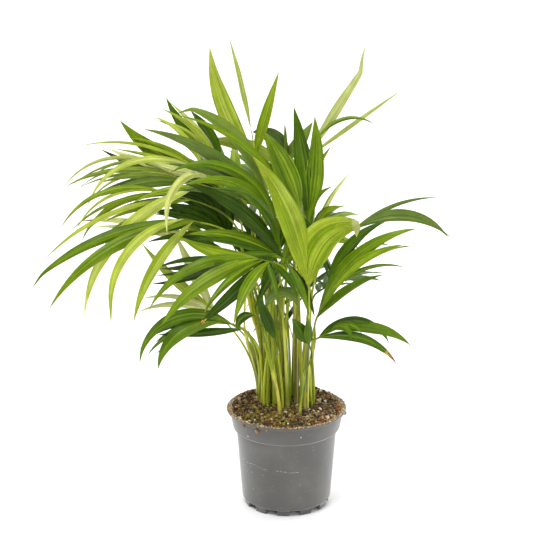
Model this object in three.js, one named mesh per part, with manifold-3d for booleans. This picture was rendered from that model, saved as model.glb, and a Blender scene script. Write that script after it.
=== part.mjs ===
// Young areca palm in its nursery pot.
// Millimetres, Z up, ground at Z = 0, pot axis on the Z axis, front toward -Y.
import * as THREE from 'three';
import { mergeVertices } from 'three/addons/utils/BufferGeometryUtils.js';
import Module from 'manifold-3d';

const wasm = await Module();
wasm.setup();
const { Manifold, Mesh: SolidMesh } = wasm;

// Free space kept between neighbouring solids
const CLEAR = 0.3;

// Nursery pot
const POT = {
  rim: 60, rimTop: 101, rimThick: 1.6,
  collarTop: 56.6, collarFoot: 53.6, collarFootZ: 81.5,
  bodyTop: 50, bodyTopZ: 79, bodyFoot: 44.6, chamfer: 2.4,
  wall: 1.6, underside: 5.2, floor: 2.4, round: 36,
  teeth: 11, toothWidth: 12, toothRadial: 3.8, toothRadius: 40.1, toothPhase: -5,
  padRadius: 15, drains: 5, drainRadius: 4, drainCircle: 27,
};

// Peat filling: it stands a little proud of the rim in the middle
const PEAT = { edgeZ: 100.6, shoulder: 47, shoulderZ: 103, middleZ: 103.8, pocketZ: 93, pocketPlay: 1.4 };

// Canes stand in pockets of the peat. x, y: foot; dx, dy: lean over the height; h: height; r: foot radius
const CANE_FOOT_Z = PEAT.pocketZ + CLEAR;
const CANE_TAPER = 0.84;
const CANES = [
  { x: -22, y: 32, dx: -14, dy: 4, h: 67, r: 1.9 },
  { x: -15, y: 12, dx: -17, dy: 0, h: 98, r: 3.2 },
  { x: -8, y: 21, dx: -9, dy: 7, h: 112, r: 3.4 },
  { x: 1, y: -4, dx: -3, dy: -8, h: 92, r: 2.7 },
  { x: 7, y: 24, dx: 2, dy: 10, h: 104, r: 2.9 },
  { x: 10, y: 4, dx: 1, dy: -2, h: 112, r: 2.9 },
  { x: 19, y: -9, dx: 2, dy: -9, h: 90, r: 3.3 },
  { x: 22, y: 14, dx: 5, dy: -2, h: 72, r: 2.5 },
  { x: -24, y: 21, dx: -14, dy: -2, h: 66, r: 2.6 },
  { x: -4, y: 39, dx: -3, dy: 16, h: 96, r: 3.1 },
  { x: 16, y: 37, dx: 7, dy: 12, h: 90, r: 3.1 },
  { x: -9, y: 0, dx: -12, dy: -8, h: 94, r: 3 },
  { x: -6, y: -18, dx: -7, dy: -5, h: 52, r: 2.7 },
  { x: 13, y: -20, dx: 4, dy: -5, h: 48, r: 1.8 },
];

// Leaf stalk radii in millimetres, and how a leaflet is drawn
const STALK = { foot: 0.95, hub: 1.1, tip: 0.7, sides: 4, spans: 7, midribSpans: 3 };
const BLADE = {
  spans: 4, curledSpans: 6, curled: 85,
  thickShare: 0.0115, leastThick: 1.1, footShare: 0.12, tipDraw: 0.95,
};

// Values that a frond takes where its row below leaves them out
const USUAL = {
  roll: 0, run: 30, sag: 15, open: [50, 18], droop: 50, lift: 18, spread: 12, free: 1, tint: 0.4,
};

// Fronds. cane: place of its cane in the list; hub: where the leaflets begin; az, el, roll: heading and
// turn of the midrib there; run, sag: midrib length and its fall in degrees; pairs: leaflet pairs, 0.5 is a
// spear; open: angle of the leaflets to the midrib at its foot and end; blade: leaflet length and width;
// droop: fall along a leaflet in degrees; blade2, droop2: the second side where it differs; lift: angle out
// of the frond plane; spread: scatter of that angle; free: share of all other scatter; tint: 0 dark green to
// 1 pale yellow. leaves: leaflets set one by one instead, as share of the midrib, heading, elevation,
// length, width and fall.
const SINGLE = { sag: 0, lift: 0, spread: 0, free: 0 };
const FRONDS = [
  { ...SINGLE, name: 'wide_front', cane: 6, hub: [21, -52, 243], az: 170, el: 88, roll: 82, run: 8,
    tint: 0.6, leaves: [[0.6, 200, 82, 146, 26, 34], [0.6, -12, 96, 98, 34, 111]] },
  { ...SINGLE, name: 'fork_right', cane: 5, hub: [21, -15, 300], az: 165, el: 92, roll: 90, run: 4,
    pairs: 1, open: [9, 9], blade: [110, 21], droop: 2, blade2: [102, 18], droop2: -18, tint: 0.3 },
  { ...SINGLE, name: 'fork_top', cane: 2, hub: [-32, 10, 350], az: 168, el: 82.5, roll: 90, run: 4,
    tint: 0.66, leaves: [[1, 176, 56, 121, 23, -31], [1, 0, 76, 92, 11, 4]] },
  { ...SINGLE, name: 'spear_top', cane: 2, hub: [-34, 0, 385], az: 180, el: 80.5, roll: 60, run: 4,
    pairs: 0.5, open: [0, 0], blade: [92, 6], droop: 8, tint: 0.78 },
  { ...SINGLE, name: 'pale_right', cane: 4, hub: [17, 45, 340], az: -8, el: 66, roll: 75, run: 12,
    tint: 0.82, leaves: [[1, -6, 64, 125, 10, 1], [0.7, -6, 40, 119, 5, 6]] },
  { ...SINGLE, name: 'hook_right', cane: 4, hub: [27, 30, 366], az: 6, el: 60, run: 4, roll: 70, tint: 0.6,
    leaves: [[1, 6, 56, 68, 4.5, 99]] },
  { ...SINGLE, name: 'small_right', cane: 5, hub: [22, -6, 278], az: 0, el: 60, roll: 60, run: 10,
    tint: 0.45, leaves: [[0.9, -6, 82, 42, 9, 83], [0.5, 4, 108, 60, 9, 91], [1, 10, 68, 69, 5, 21]] },
  { ...SINGLE, name: 'broad_middle', cane: 5, hub: [13, -28, 311], az: 150, el: 80, roll: 80, run: 6,
    tint: 0.55, leaves: [[0.5, 196, 72, 91, 26, 14], [0.5, 188, 60, 158, 8, 45]] },
  { ...SINGLE, name: 'long_dark', cane: 3, hub: [-14, -20, 318], az: 165, el: 60, roll: 68, run: 10,
    tint: 0.28, leaves: [[0.2, 186, 48, 147, 14, 36], [0.8, 176, 77, 134, 15, 71]] },
  { ...SINGLE, name: 'hand_middle', cane: 3, hub: [-1, -38, 266], az: 190, el: 60, roll: 66, run: 20,
    tint: 0.42, leaves: [[0.1, 196, 40, 105, 14, 46], [0.6, 188, 86, 138, 15, 113],
    [0.9, 176, 88, 154, 13, 122], [0.2, 205, 60, 137, 18, 44], [0.4, 215, 81, 119, 10, 79]] },
  { ...SINGLE, name: 'hand_front', cane: 11, hub: [-14, -58, 272], az: 200, el: 20, roll: 62, run: 16,
    tint: 0.5, leaves: [[1, 192, 8, 122, 11, 70], [1, 200, -8, 117, 15, 51], [0.6, 215, -8, 83, 9, 52],
    [0.3, 225, -24, 102, 14, 2], [0.2, 240, -12, 83, 13, 49], [0.9, 184, 4, 80, 14, -31]] },
  { ...SINGLE, name: 'outer_left', cane: 1, hub: [-78, -30, 302], az: 186, el: 14, roll: 66, run: 22,
    tint: 0.42, leaves: [[0.8, 188, -3, 171, 11, 42], [0.5, 196, -1, 172, 13, 61],
    [0.55, 207, -36, 117, 12, 44], [1, 214, -1, 143, 10, 111]] },
  { ...SINGLE, name: 'strap_left', cane: 1, hub: [-70, -26, 336], az: 184, el: 8, roll: 68, run: 16,
    tint: 0.72, leaves: [[1, 184, -19, 183, 14, 69], [0.5, 178, 4, 76, 6, 40]] },
  { ...SINGLE, name: 'upper_left', cane: 2, hub: [-63, 18, 344], az: 140, el: 60, roll: 80, run: 8,
    tint: 0.3, leaves: [[1, 168, 32, 82, 14, -39], [0.6, 150, 67, 60, 15, 26], [1, 172, 56, 75, 7, 14],
    [0.3, 182, 63, 85, 6, 41]] },
  { ...SINGLE, name: 'crown_left', cane: 2, hub: [-73, 6, 337], az: 172, el: 38, roll: 70, run: 10,
    tint: 0.55, leaves: [[0.9, 182, 73, 79, 6, 55], [0.7, 176, 18, 100, 18, -32],
    [0.2, 188, 12, 104, 11, -14], [0.1, 168, -2, 116, 11, -31]] },
  { ...SINGLE, name: 'fan_left_high', cane: 2, hub: [-84, -4, 334], az: 180, el: 16, roll: 66, run: 24,
    tint: 0.38, leaves: [[0.9, 184, 20, 117, 6, 55], [0.7, 190, 16, 84, 6.5, 36],
    [0.3, 194, 8, 92, 12, 30], [1, 176, 30, 126, 4.5, 96]] },
  { ...SINGLE, name: 'fan_left_low', cane: 1, hub: [-79, -16, 317], az: 184, el: 22, roll: 66, run: 34,
    sag: 8, leaves: [[1, 184, 16, 125, 6, 83], [0.9, 192, 15, 113, 7, 79], [0.7, 190, -4, 153, 5.5, 44],
    [0.4, 180, -4, 89, 7, 24]], tint: 0.5 },
  { ...SINGLE, name: 'ribbon_left', cane: 1, hub: [-72, -14, 341], az: 186, el: 40, roll: 66, run: 10,
    tint: 0.78, leaves: [[1, 186, 35, 140, 7, 115], [0.6, 232, 26, 96, 9, 146]] },
  { ...SINGLE, name: 'shade_left', cane: 11, hub: [-54, 0, 274], az: 150, el: 55, roll: 75, run: 20,
    tint: 0.05, leaves: [[1, 176, 68, 61, 21, 86], [0.6, 190, 40, 68, 16, 28], [0.1, 196, 40, 86, 9, 38],
    [0.4, 160, 98, 65, 19, 83]] },
  { ...SINGLE, name: 'curl_dark', cane: 11, hub: [-45, -30, 263], az: 182, el: 10, roll: 60, run: 16,
    tint: 0.08, leaves: [[0.9, 186, -10, 64, 8, -9], [0.6, 192, -24, 82, 7, -25],
    [0.2, 176, 39, 69, 7, 39]] },
  { ...SINGLE, name: 'pale_low_left', cane: 0, hub: [-65, 34, 183], az: 160, el: 40, roll: 80, run: 10,
    tint: 0.85, leaves: [[0.9, 184, 40, 105, 11, -13], [1, 176, 64, 91, 12, -1], [0.6, 190, 28, 86, 7, 54],
    [0.8, 188, 36, 83, 5.5, 53]] },
  { ...SINGLE, name: 'pale_low_far', cane: 8, hub: [-60, 30, 254], az: 176, el: 20, roll: 70, run: 14,
    tint: 0.88, leaves: [[1, 184, 28, 137, 9, 34], [0.8, 190, 24, 127, 9, 24], [0.6, 178, 48, 75, 8, 61]]
    },
  { ...SINGLE, name: 'low_left', cane: 8, hub: [-43, -14, 188], az: 184, el: 38, roll: 62, run: 26,
    sag: 30, leaves: [[0.5, 194, 32, 120, 12, 119], [0.9, 200, 10, 89, 16, 97], [0.05, 186, -4, 84, 9, -5],
    [0.9, 182, 0, 87, 7, 59], [1, 176, -4, 70, 7, 39]], tint: 0.28 },
  { ...SINGLE, name: 'tall_right', cane: 7, hub: [30, 4, 194], az: 10, el: 68, roll: 72, run: 54, sag: 14,
    leaves: [[0.05, -6, 72, 143, 15, 64], [0.5, 4, 80, 100, 13, 63], [0.3, -14, 64, 110, 10, 55],
    [0, -8, 56, 84, 9, 45], [0.6, 8, 40, 82, 4.5, 59], [0.8, 14, 72, 72, 6, 96]], tint: 0.36 },
  { ...SINGLE, name: 'arch_right', cane: 6, hub: [63, 24, 277], az: 6, el: 32, roll: 70, run: 10,
    tint: 0.3, leaves: [[0.5, 4, 32, 105, 12, 88], [0.8, -4, 26, 102, 6, 73], [0.2, 12, 36, 96, 4.5, 41]]
    },
  { ...SINGLE, name: 'low_right', cane: 7, hub: [31, -16, 180], az: -10, el: 34, roll: 58, run: 24,
    sag: 10, leaves: [[0, 0, 50, 88, 11, 126], [0.9, 0, 12, 79, 12, 58], [0, -14, 20, 89, 11, 78],
    [0.6, -30, 60, 34, 8, 165], [0.6, -16, 54, 38, 8, 118]], tint: 0.2 },
  { ...SINGLE, name: 'sprig_front', cane: 13, hub: [23, -30, 175], az: 170, el: 70, roll: 70, run: 4,
    tint: 0.1, leaves: [[1, 172, 60, 31, 15, 6], [0.5, 60, 76, 33, 12, -44]] },
  { ...SINGLE, name: 'sprig_middle', cane: 12, hub: [-10, -34, 181], az: 140, el: 70, roll: 75, run: 4,
    tint: 0.08, leaves: [[1, 178, 69, 50, 12, 2]] },
  { ...SINGLE, name: 'curl_middle', cane: 12, hub: [-22, -30, 211], az: 60, el: 70, roll: 60, run: 4,
    tint: 0.12, leaves: [[1, -10, 86, 52, 12, 175]] },
  { ...SINGLE, name: 'drop_left', cane: 12, hub: [-29, -34, 207], az: 200, el: 60, roll: 50, run: 4,
    tint: 0.1, leaves: [[1, 196, 20, 30, 10, 150]] },
  { name: 'back_high', cane: 9, hub: [-16, 62, 290], az: 100, el: 42, roll: 20, pairs: 3, open: [48, 18],
    blade: [104, 12], droop: 58 },
  { name: 'back_left', cane: 9, hub: [-32, 58, 262], az: 128, el: 28, roll: -15, run: 34, pairs: 3,
    open: [52, 18], blade: [115, 12], droop: 54, tint: 0.35 },
  { name: 'back_right', cane: 10, hub: [20, 66, 252], az: 76, el: 32, roll: -20, pairs: 3, open: [46, 16],
    blade: [90, 12], droop: 60, tint: 0.45 },
  { name: 'side_right', cane: 10, hub: [32, 52, 205], az: 40, el: 18, roll: 25, run: 26, pairs: 3,
    blade: [64, 10], tint: 0.3 },
  { ...SINGLE, name: 'fork_back', cane: 10, hub: [8, 58, 280], az: 75, el: 66, roll: 40, run: 6, pairs: 1,
    open: [16, 16], blade: [78, 17], droop: 36, tint: 0.5 },
  { name: 'back_far_left', cane: 9, hub: [-48, 52, 300], az: 150, el: 36, roll: 20, pairs: 3,
    open: [45, 16], blade: [112, 12], droop: 44, tint: 0.42 },
  { name: 'low_back_right', cane: 10, hub: [18, 70, 196], az: 84, el: 20, roll: 10, run: 26, pairs: 3,
    open: [55, 20], blade: [78, 10], droop: 56, tint: 0.25 },
  { name: 'low_back', cane: 9, hub: [-20, 66, 215], az: 112, el: 14, run: 26, pairs: 2, open: [50, 20],
    blade: [90, 10], droop: 52, tint: 0.7 },
  { ...SINGLE, name: 'fork_back_high', cane: 4, hub: [-2, 46, 336], az: 110, el: 80, roll: 70, run: 8,
    tint: 0.15, leaves: [[1, 176, 84, 48, 19, 96], [0.6, 100, 84, 42, 10, -20], [0.8, 20, 48, 49, 14, -9],
    [0.3, 186, 40, 91, 15, 51]] },
];

// Small turns and shortenings tried, in this order, when a leaflet would touch a neighbour
const NUDGES = [
  [0, 0, 1], [5, 4, 1], [-5, 4, 1], [5, -5, 1], [-5, -5, 1], [10, 7, 1], [-10, 7, 1], [11, -8, 1],
  [-11, -8, 1], [0, 12, 0.9], [0, -12, 0.9], [14, 0, 0.8], [-14, 0, 0.8], [6, 6, 0.65], [-6, -6, 0.65],
];

const LEAF_DARK = new THREE.Color(0x2c5414);
const LEAF_PALE = new THREE.Color(0xa9bf4a);

// Seeded random numbers: the same plant grows every time
function seeded(seed) {
  let state = (seed * 2654435761 + 12345) % 4294967296;
  return (reach) => {
    state = (state * 1664525 + 1013904223) % 4294967296;
    return (state / 4294967296 * 2 - 1) * reach;
  };
}

const rad = THREE.MathUtils.degToRad;
const deg = THREE.MathUtils.radToDeg;
const vec = (x, y, z) => new THREE.Vector3(x, y, z);

// Unit vector for a compass angle and an elevation, in degrees
function heading(az, el) {
  const level = Math.cos(rad(el));
  return vec(level * Math.cos(rad(az)), level * Math.sin(rad(az)), Math.sin(rad(el)));
}

// Line that leaves start along (az, el) and falls by bend degrees over its length
function fallingLine(start, az, el, length, bend, steps, power) {
  const points = [start.clone()];
  const dirs = [heading(az, el)];
  for (let i = 1; i <= steps; i += 1) {
    const middle = Math.max(el - bend * ((i - 0.5) / steps) ** power, -89);
    const end = Math.max(el - bend * (i / steps) ** power, -89);
    points.push(points[i - 1].clone().addScaledVector(heading(az, middle), length / steps));
    dirs.push(heading(az, end));
  }
  return { points, dirs };
}

// Forward, sideways and upward vectors of a frond at one place on its midrib
function frondAxes(az, el, roll) {
  const forward = heading(az, el);
  const up = heading(az, el + 90);
  const side = forward.clone().cross(up);
  const c = Math.cos(rad(roll));
  const s = Math.sin(rad(roll));
  const turnedSide = side.clone().multiplyScalar(c).addScaledVector(up, s);
  const turnedUp = up.clone().multiplyScalar(c).addScaledVector(side, -s);
  return { forward, side: turnedSide, up: turnedUp };
}

// Half width of a blade along its length, as a share of its widest place
function bladeOutline(t, belly = 0.42) {
  if (t < belly) {
    return BLADE.footShare + (1 - BLADE.footShare) * Math.sin(t / belly * Math.PI / 2) ** 0.9;
  }
  const k = (t - belly) / (1 - belly);
  return Math.max(0, Math.cos(k * Math.PI / 2)) ** BLADE.tipDraw * (1 - 0.15 * k);
}

// Every leaflet of a frond as its foot, heading, length, width, fall and facing
function leafletPlan(frond, index) {
  const scatter = seeded(101 + index * 7);
  const [hx, hy, hz] = frond.hub;
  const midrib = fallingLine(vec(hx, hy, hz), frond.az, frond.el, frond.run, frond.sag, 12, 1);
  if (frond.leaves) return { midrib, plan: frond.leaves.map((leaf) => setLeaflet(frond, midrib, leaf)) };
  const rows = Math.max(1, Math.ceil(frond.pairs));
  const plan = [];
  for (let row = 0; row < rows; row += 1) {
    const share = rows === 1 ? 1 : row / (rows - 1);
    for (const side of [-1, 1]) {
      if (frond.pairs === 0.5 && side === 1) continue;
      plan.push(leafletRow(frond, midrib, share, side, rows, scatter));
    }
  }
  return { midrib, plan };
}

// Point at a place of the midrib, which has twelve steps
function midribPoint(midrib, place) {
  const j = Math.min(11, Math.floor(place));
  return midrib.points[j].clone().lerp(midrib.points[j + 1], place - j);
}

// Leaflet that the table sets by itself; the roll of the frond turns its upper face to the front
function setLeaflet(frond, midrib, [share, az, el, length, width, droop]) {
  const turn = Math.cos(rad(az)) > 0 ? -frond.roll : frond.roll;
  const foot = midribPoint(midrib, share * 12);
  return { foot, az, el, length, width, droop, twist: 0, face: frondAxes(az, el, turn).up };
}

// Leaflet of a pair, placed by the rule of its frond with seeded scatter
function leafletRow(frond, midrib, share, side, rows, scatter) {
  const place = side < 0 || share >= 1 ? share * 12 : Math.min(12, share * 12 + 0.9);
  const foot = midribPoint(midrib, place);
  const axes = frondAxes(frond.az, frond.el - frond.sag * share, frond.roll);
  const free = frond.free;
  const base = frond.pairs === 0.5 ? 0 : frond.open[0] + (frond.open[1] - frond.open[0]) * share ** 0.8;
  const open = rad(base + scatter(4) * free);
  const lift = rad(frond.lift + scatter(6) * free + scatter(1) * frond.spread);
  const outward = axes.side.clone().multiplyScalar(side * Math.cos(lift));
  outward.addScaledVector(axes.up, Math.sin(lift));
  const along = axes.forward.clone().multiplyScalar(Math.cos(open)).addScaledVector(outward, Math.sin(open));
  along.normalize();
  const face = axes.up.clone().multiplyScalar(Math.cos(lift));
  face.addScaledVector(axes.side, -side * Math.sin(lift));
  const second = side > 0;
  const size = rows > 1 ? 1 - 0.22 * Math.abs(share - 0.55) / 0.55 : 1;
  const [length, width] = second && frond.blade2 ? frond.blade2 : frond.blade;
  const wide = share >= 1 && rows > 1 ? 1.15 : 1;
  const droop = second && frond.droop2 !== undefined ? frond.droop2 : frond.droop;
  return {
    foot,
    az: deg(Math.atan2(along.y, along.x)),
    el: deg(Math.asin(THREE.MathUtils.clamp(along.z, -1, 1))),
    length: length * size * (1 + scatter(0.07) * free),
    width: width * wide * (1 + scatter(0.1) * free),
    droop: droop * (1 + scatter(0.22) * free),
    twist: scatter(16) * free,
    face,
  };
}

// Closed triangle mesh as a solid for joining and cutting
function toSolid(geometry) {
  const bare = geometry.clone();
  bare.deleteAttribute('normal');
  bare.deleteAttribute('uv');
  const merged = mergeVertices(bare, 1e-4);
  const index = merged.index.array;
  const kept = [];
  for (let i = 0; i < index.length; i += 3) {
    const [a, b, c] = [index[i], index[i + 1], index[i + 2]];
    if (a !== b && b !== c && c !== a) kept.push(a, b, c);
  }
  return new Manifold(new SolidMesh({
    numProp: 3,
    vertProperties: new Float32Array(merged.attributes.position.array),
    triVerts: new Uint32Array(kept),
  }));
}

function toGeometry(solid) {
  const mesh = solid.getMesh();
  const geometry = new THREE.BufferGeometry();
  const position = new Float32Array(mesh.numVert * 3);
  for (let i = 0; i < mesh.numVert; i += 1) {
    for (let k = 0; k < 3; k += 1) position[i * 3 + k] = mesh.vertProperties[i * mesh.numProp + k];
  }
  geometry.setAttribute('position', new THREE.BufferAttribute(position, 3));
  geometry.setIndex(new THREE.BufferAttribute(new Uint32Array(mesh.triVerts), 1));
  const faceted = geometry.toNonIndexed();
  faceted.computeVertexNormals();
  return faceted;
}

// Moves every vertex of an upright unit cylinder or cone; place(t, x, z) gives its new position
function bend(geometry, place) {
  const position = geometry.attributes.position;
  for (let i = 0; i < position.count; i += 1) {
    const x = position.getX(i);
    const z = position.getZ(i);
    const p = place(position.getY(i) + 0.5, x, z);
    position.setXYZ(i, p.x, p.y, p.z);
  }
  return geometry;
}

// Point and direction at share t of a polyline with even steps
function along(line, t) {
  const steps = line.points.length - 1;
  const j = Math.min(steps - 1, Math.floor(t * steps));
  const k = t * steps - j;
  const point = line.points[j].clone().lerp(line.points[j + 1], k);
  const dir = line.dirs[j].clone().lerp(line.dirs[j + 1], k).normalize();
  return { point, dir };
}

// Blade of a leaflet: a bent three-sided spike with a flat upper face and a keel below.
// Its width keeps its lean to the level line across, however far the blade curls over
function bladeSolid(leaflet, [turn, rise, shorten]) {
  const length = leaflet.length * shorten;
  const az = leaflet.az + turn;
  const line = fallingLine(leaflet.foot, az, leaflet.el + rise, length, leaflet.droop, 14, 1.25);
  const thick = Math.max(BLADE.leastThick, length * BLADE.thickShare);
  const start = line.dirs[0];
  const face = leaflet.face.clone().addScaledVector(start, -leaflet.face.dot(start)).normalize();
  const across = face.clone().cross(start);
  const level = vec(Math.sin(rad(az)), -Math.cos(rad(az)), 0);
  const flat = across.dot(level);
  const edgewise = across.dot(level.clone().cross(start));
  const spans = leaflet.droop > BLADE.curled ? BLADE.curledSpans : BLADE.spans;
  const spike = new THREE.ConeGeometry(1, 1, 3, spans);
  return toSolid(bend(spike, (t, x, z) => {
    const { point, dir } = along(line, t);
    const reach = Math.hypot(x, z) || 1;
    const wide = level.clone().multiplyScalar(flat).addScaledVector(level.clone().cross(dir), edgewise);
    const down = wide.clone().cross(dir);
    const turned = wide.clone().multiplyScalar(Math.cos(rad(leaflet.twist * t)));
    turned.addScaledVector(down, -Math.sin(rad(leaflet.twist * t)));
    const below = turned.clone().cross(dir);
    if (Math.hypot(x, z) < 1e-6) return point;
    const share = bladeOutline(t);
    point.addScaledVector(turned, x / reach / 0.866 * leaflet.width / 2 * share);
    return point.addScaledVector(below, (z / reach + 0.5) / 1.5 * thick * (1 - 0.5 * t) - thick * 0.3);
  }));
}

// Round tube with a changing radius along a line
function tubeSolid(line, radiusAt, sides, spans) {
  const start = line.dirs[0];
  const seed = Math.abs(start.x) > 0.9 ? vec(0, 1, 0) : vec(1, 0, 0);
  const tube = new THREE.CylinderGeometry(1, 1, 1, sides, spans);
  return toSolid(bend(tube, (t, x, z) => {
    const { point, dir } = along(line, t);
    const wide = seed.clone().addScaledVector(dir, -seed.dot(dir)).normalize();
    const other = wide.clone().cross(dir);
    const r = radiusAt(t);
    return point.addScaledVector(wide, x * r).addScaledVector(other, z * r);
  }));
}

// Line through a cubic curve, with even steps
function curveLine(a, b, c, d, steps) {
  const curve = new THREE.CubicBezierCurve3(a, b, c, d);
  const points = [];
  const dirs = [];
  for (let i = 0; i <= steps; i += 1) {
    points.push(curve.getPoint(i / steps));
    dirs.push(curve.getTangent(i / steps));
  }
  return { points, dirs };
}

function caneLine(cane) {
  const foot = vec(cane.x, cane.y, CANE_FOOT_Z);
  const top = foot.clone().add(vec(cane.dx, cane.dy, cane.h));
  const knee = foot.clone().add(vec(cane.dx * 0.1, cane.dy * 0.1, cane.h * 0.33));
  const bow = foot.clone().add(vec(cane.dx * 0.5, cane.dy * 0.5, cane.h * 0.66));
  return curveLine(foot, knee, bow, top, 10);
}

function caneSolid(cane) {
  const line = caneLine(cane);
  line.dirs[0] = vec(0, 0, 1);
  return tubeSolid(line, (t) => cane.r * (1 - (1 - CANE_TAPER) * t), 8, 4);
}

// Feet of the stalks on the top of one cane, spread in a ring in the order of their hubs
function stalkFeet(cane, fronds) {
  const line = caneLine(cane);
  const top = line.points[10];
  const dir = line.dirs[10];
  const wide = vec(1, 0, 0).addScaledVector(dir, -dir.x).normalize();
  const other = dir.clone().cross(wide);
  const ring = fronds.length === 1 ? 0 : cane.r * CANE_TAPER - STALK.foot - 0.05;
  const angle = (frond) => Math.atan2(frond.hub[1] - top.y, frond.hub[0] - top.x);
  const order = [...fronds].sort((a, b) => angle(a) - angle(b));
  const step = 2 * Math.PI / Math.max(1, order.length);
  const sum = order.reduce((total, frond, i) => {
    const a = angle(frond) - i * step;
    return [total[0] + Math.cos(a), total[1] + Math.sin(a)];
  }, [0, 0]);
  const first = Math.atan2(sum[1], sum[0]);
  const feet = new Map();
  order.forEach((frond, i) => {
    const a = first + i * step;
    const foot = top.clone().addScaledVector(dir, CLEAR + 0.08);
    foot.addScaledVector(wide, ring * Math.cos(a)).addScaledVector(other, ring * Math.sin(a));
    feet.set(frond, { foot, dir });
  });
  return feet;
}

// Stalk from the cane to the hub, bowed low and high by two shifts, and on along the midrib
function stalkLine(frond, { foot, dir }, midrib, low, high) {
  const hub = midrib.points[0];
  const reach = hub.distanceTo(foot);
  const scale = Math.min(1, reach / 90);
  const knee = foot.clone().addScaledVector(dir, reach * 0.45).addScaledVector(low, scale);
  const bow = hub.clone().addScaledVector(midrib.dirs[0], -reach * 0.4).addScaledVector(high, scale);
  const stalk = curveLine(foot, knee, bow, hub, 16);
  stalk.dirs[0] = dir.clone();
  const points = stalk.points.concat(midrib.points.slice(1));
  return { points, dirs: stalk.dirs.concat(midrib.dirs.slice(1)) };
}

// Bounds test first, then the true distance between two solids
function tooNear(solid, others) {
  const box = solid.boundingBox();
  for (const other of others) {
    let apart = false;
    for (let k = 0; k < 3; k += 1) {
      if (box.min[k] > other.box.max[k] + CLEAR || other.box.min[k] > box.max[k] + CLEAR) apart = true;
    }
    if (!apart && solid.minGap(other.solid, CLEAR * 1.5) < CLEAR) return true;
  }
  return false;
}

const boxed = (solid) => ({ solid, box: solid.boundingBox() });

// Pairs of sideways bows tried for a stalk, low and high, in widening rings
function bows() {
  const none = vec(0, 0, 0);
  const list = [[none, none]];
  for (let ring = 1; ring <= 7; ring += 1) {
    for (let k = 0; k < 8; k += 1) {
      const shift = vec(Math.cos(k * Math.PI / 4), Math.sin(k * Math.PI / 4), 0).multiplyScalar(ring * 5);
      list.push([shift, shift], [shift, none], [none, shift], [shift, shift.clone().negate()]);
    }
  }
  return list;
}

function growStalk(frond, feet, midrib, standing) {
  for (const [low, high] of bows()) {
    const line = stalkLine(frond, feet, midrib, low, high);
    const hubShare = 16 / (line.points.length - 1);
    const radiusAt = (t) => (t < hubShare
      ? STALK.foot + (STALK.hub - STALK.foot) * t / hubShare
      : STALK.hub + (STALK.tip - STALK.hub) * (t - hubShare) / (1 - hubShare));
    const solid = tubeSolid(line, radiusAt, STALK.sides, STALK.spans + STALK.midribSpans);
    if (!tooNear(solid, standing)) return solid;
  }
  return null;
}

function growLeaflet(leaflet, standing) {
  for (const nudge of NUDGES) {
    const solid = bladeSolid(leaflet, nudge);
    if (!tooNear(solid, standing)) return solid;
  }
  return null;
}

// All fronds: first every stalk, then the leaflets, each clear of all that already stands
function growFronds(canes) {
  const fronds = FRONDS.map((row) => ({ ...USUAL, ...row }));
  const feet = new Map();
  CANES.forEach((cane, i) => {
    for (const [frond, foot] of stalkFeet(cane, fronds.filter((f) => f.cane === i))) feet.set(frond, foot);
  });
  const standing = canes.map((solid) => boxed(solid));
  const grown = fronds.map((frond, index) => {
    const { midrib, plan } = leafletPlan(frond, index);
    const stalk = growStalk(frond, feet.get(frond), midrib, standing);
    if (stalk) standing.push(boxed(stalk));
    return { frond, plan, pieces: stalk ? [stalk] : [] };
  });
  for (const item of grown.filter((g) => g.pieces.length)) {
    const neighbours = standing.filter((s) => s.solid !== item.pieces[0]);
    const own = [];
    for (const leaflet of item.plan) {
      const solid = growLeaflet(leaflet, neighbours);
      if (solid) {
        item.pieces.push(solid);
        own.push(boxed(solid));
      }
    }
    standing.push(...own);
  }
  return grown.filter((g) => g.pieces.length > 1);
}

// Turned body from a closed profile of radius and height pairs
function turned(profile, round) {
  const points = profile.map(([r, z]) => new THREE.Vector2(r, z));
  const solid = toSolid(new THREE.LatheGeometry(points, round).rotateX(Math.PI / 2));
  return solid;
}

function peg(radius, height, x, y, z, sides) {
  const pegShape = new THREE.CylinderGeometry(radius, radius, height, sides).rotateX(Math.PI / 2);
  return toSolid(pegShape.translate(x, y, z + height / 2));
}

function potSolid() {
  const p = POT;
  const outer = [
    [0, p.underside], [p.bodyFoot - p.chamfer, p.underside], [p.bodyFoot, p.underside + p.chamfer],
    [p.bodyTop, p.bodyTopZ], [p.collarFoot, p.collarFootZ],
    [p.collarTop, p.rimTop - p.rimThick - 2], [p.collarTop + 1.2, p.rimTop - p.rimThick],
    [p.rim - 0.5, p.rimTop - p.rimThick], [p.rim, p.rimTop - p.rimThick / 2], [p.rim - 0.5, p.rimTop],
  ];
  const inner = [
    [p.collarTop - p.wall + 0.4, p.rimTop], [p.collarTop - p.wall, p.rimTop - 2],
    [p.collarFoot - p.wall, p.collarFootZ + 0.6], [p.bodyTop - p.wall, p.bodyTopZ + 0.6],
    [p.bodyFoot - p.wall + 0.2, p.underside + p.floor], [0, p.underside + p.floor],
  ];
  let pot = turned([...outer, ...inner], p.round);
  for (let i = 0; i < p.teeth; i += 1) {
    const angle = rad(p.toothPhase - 90 + i * 360 / p.teeth);
    const tooth = new THREE.BoxGeometry(p.toothRadial, p.toothWidth, p.underside + 1);
    tooth.translate(p.toothRadius, 0, (p.underside + 1) / 2).rotateZ(angle);
    pot = pot.add(toSolid(tooth));
  }
  pot = pot.add(peg(p.padRadius, p.underside + 1, 0, 0, 0, 20));
  for (let i = 0; i < p.drains; i += 1) {
    const angle = i * 2 * Math.PI / p.drains;
    const x = p.drainCircle * Math.cos(angle);
    const y = p.drainCircle * Math.sin(angle);
    pot = pot.subtract(peg(p.drainRadius, p.floor + 4, x, y, p.underside - 2, 10));
  }
  return pot;
}

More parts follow.
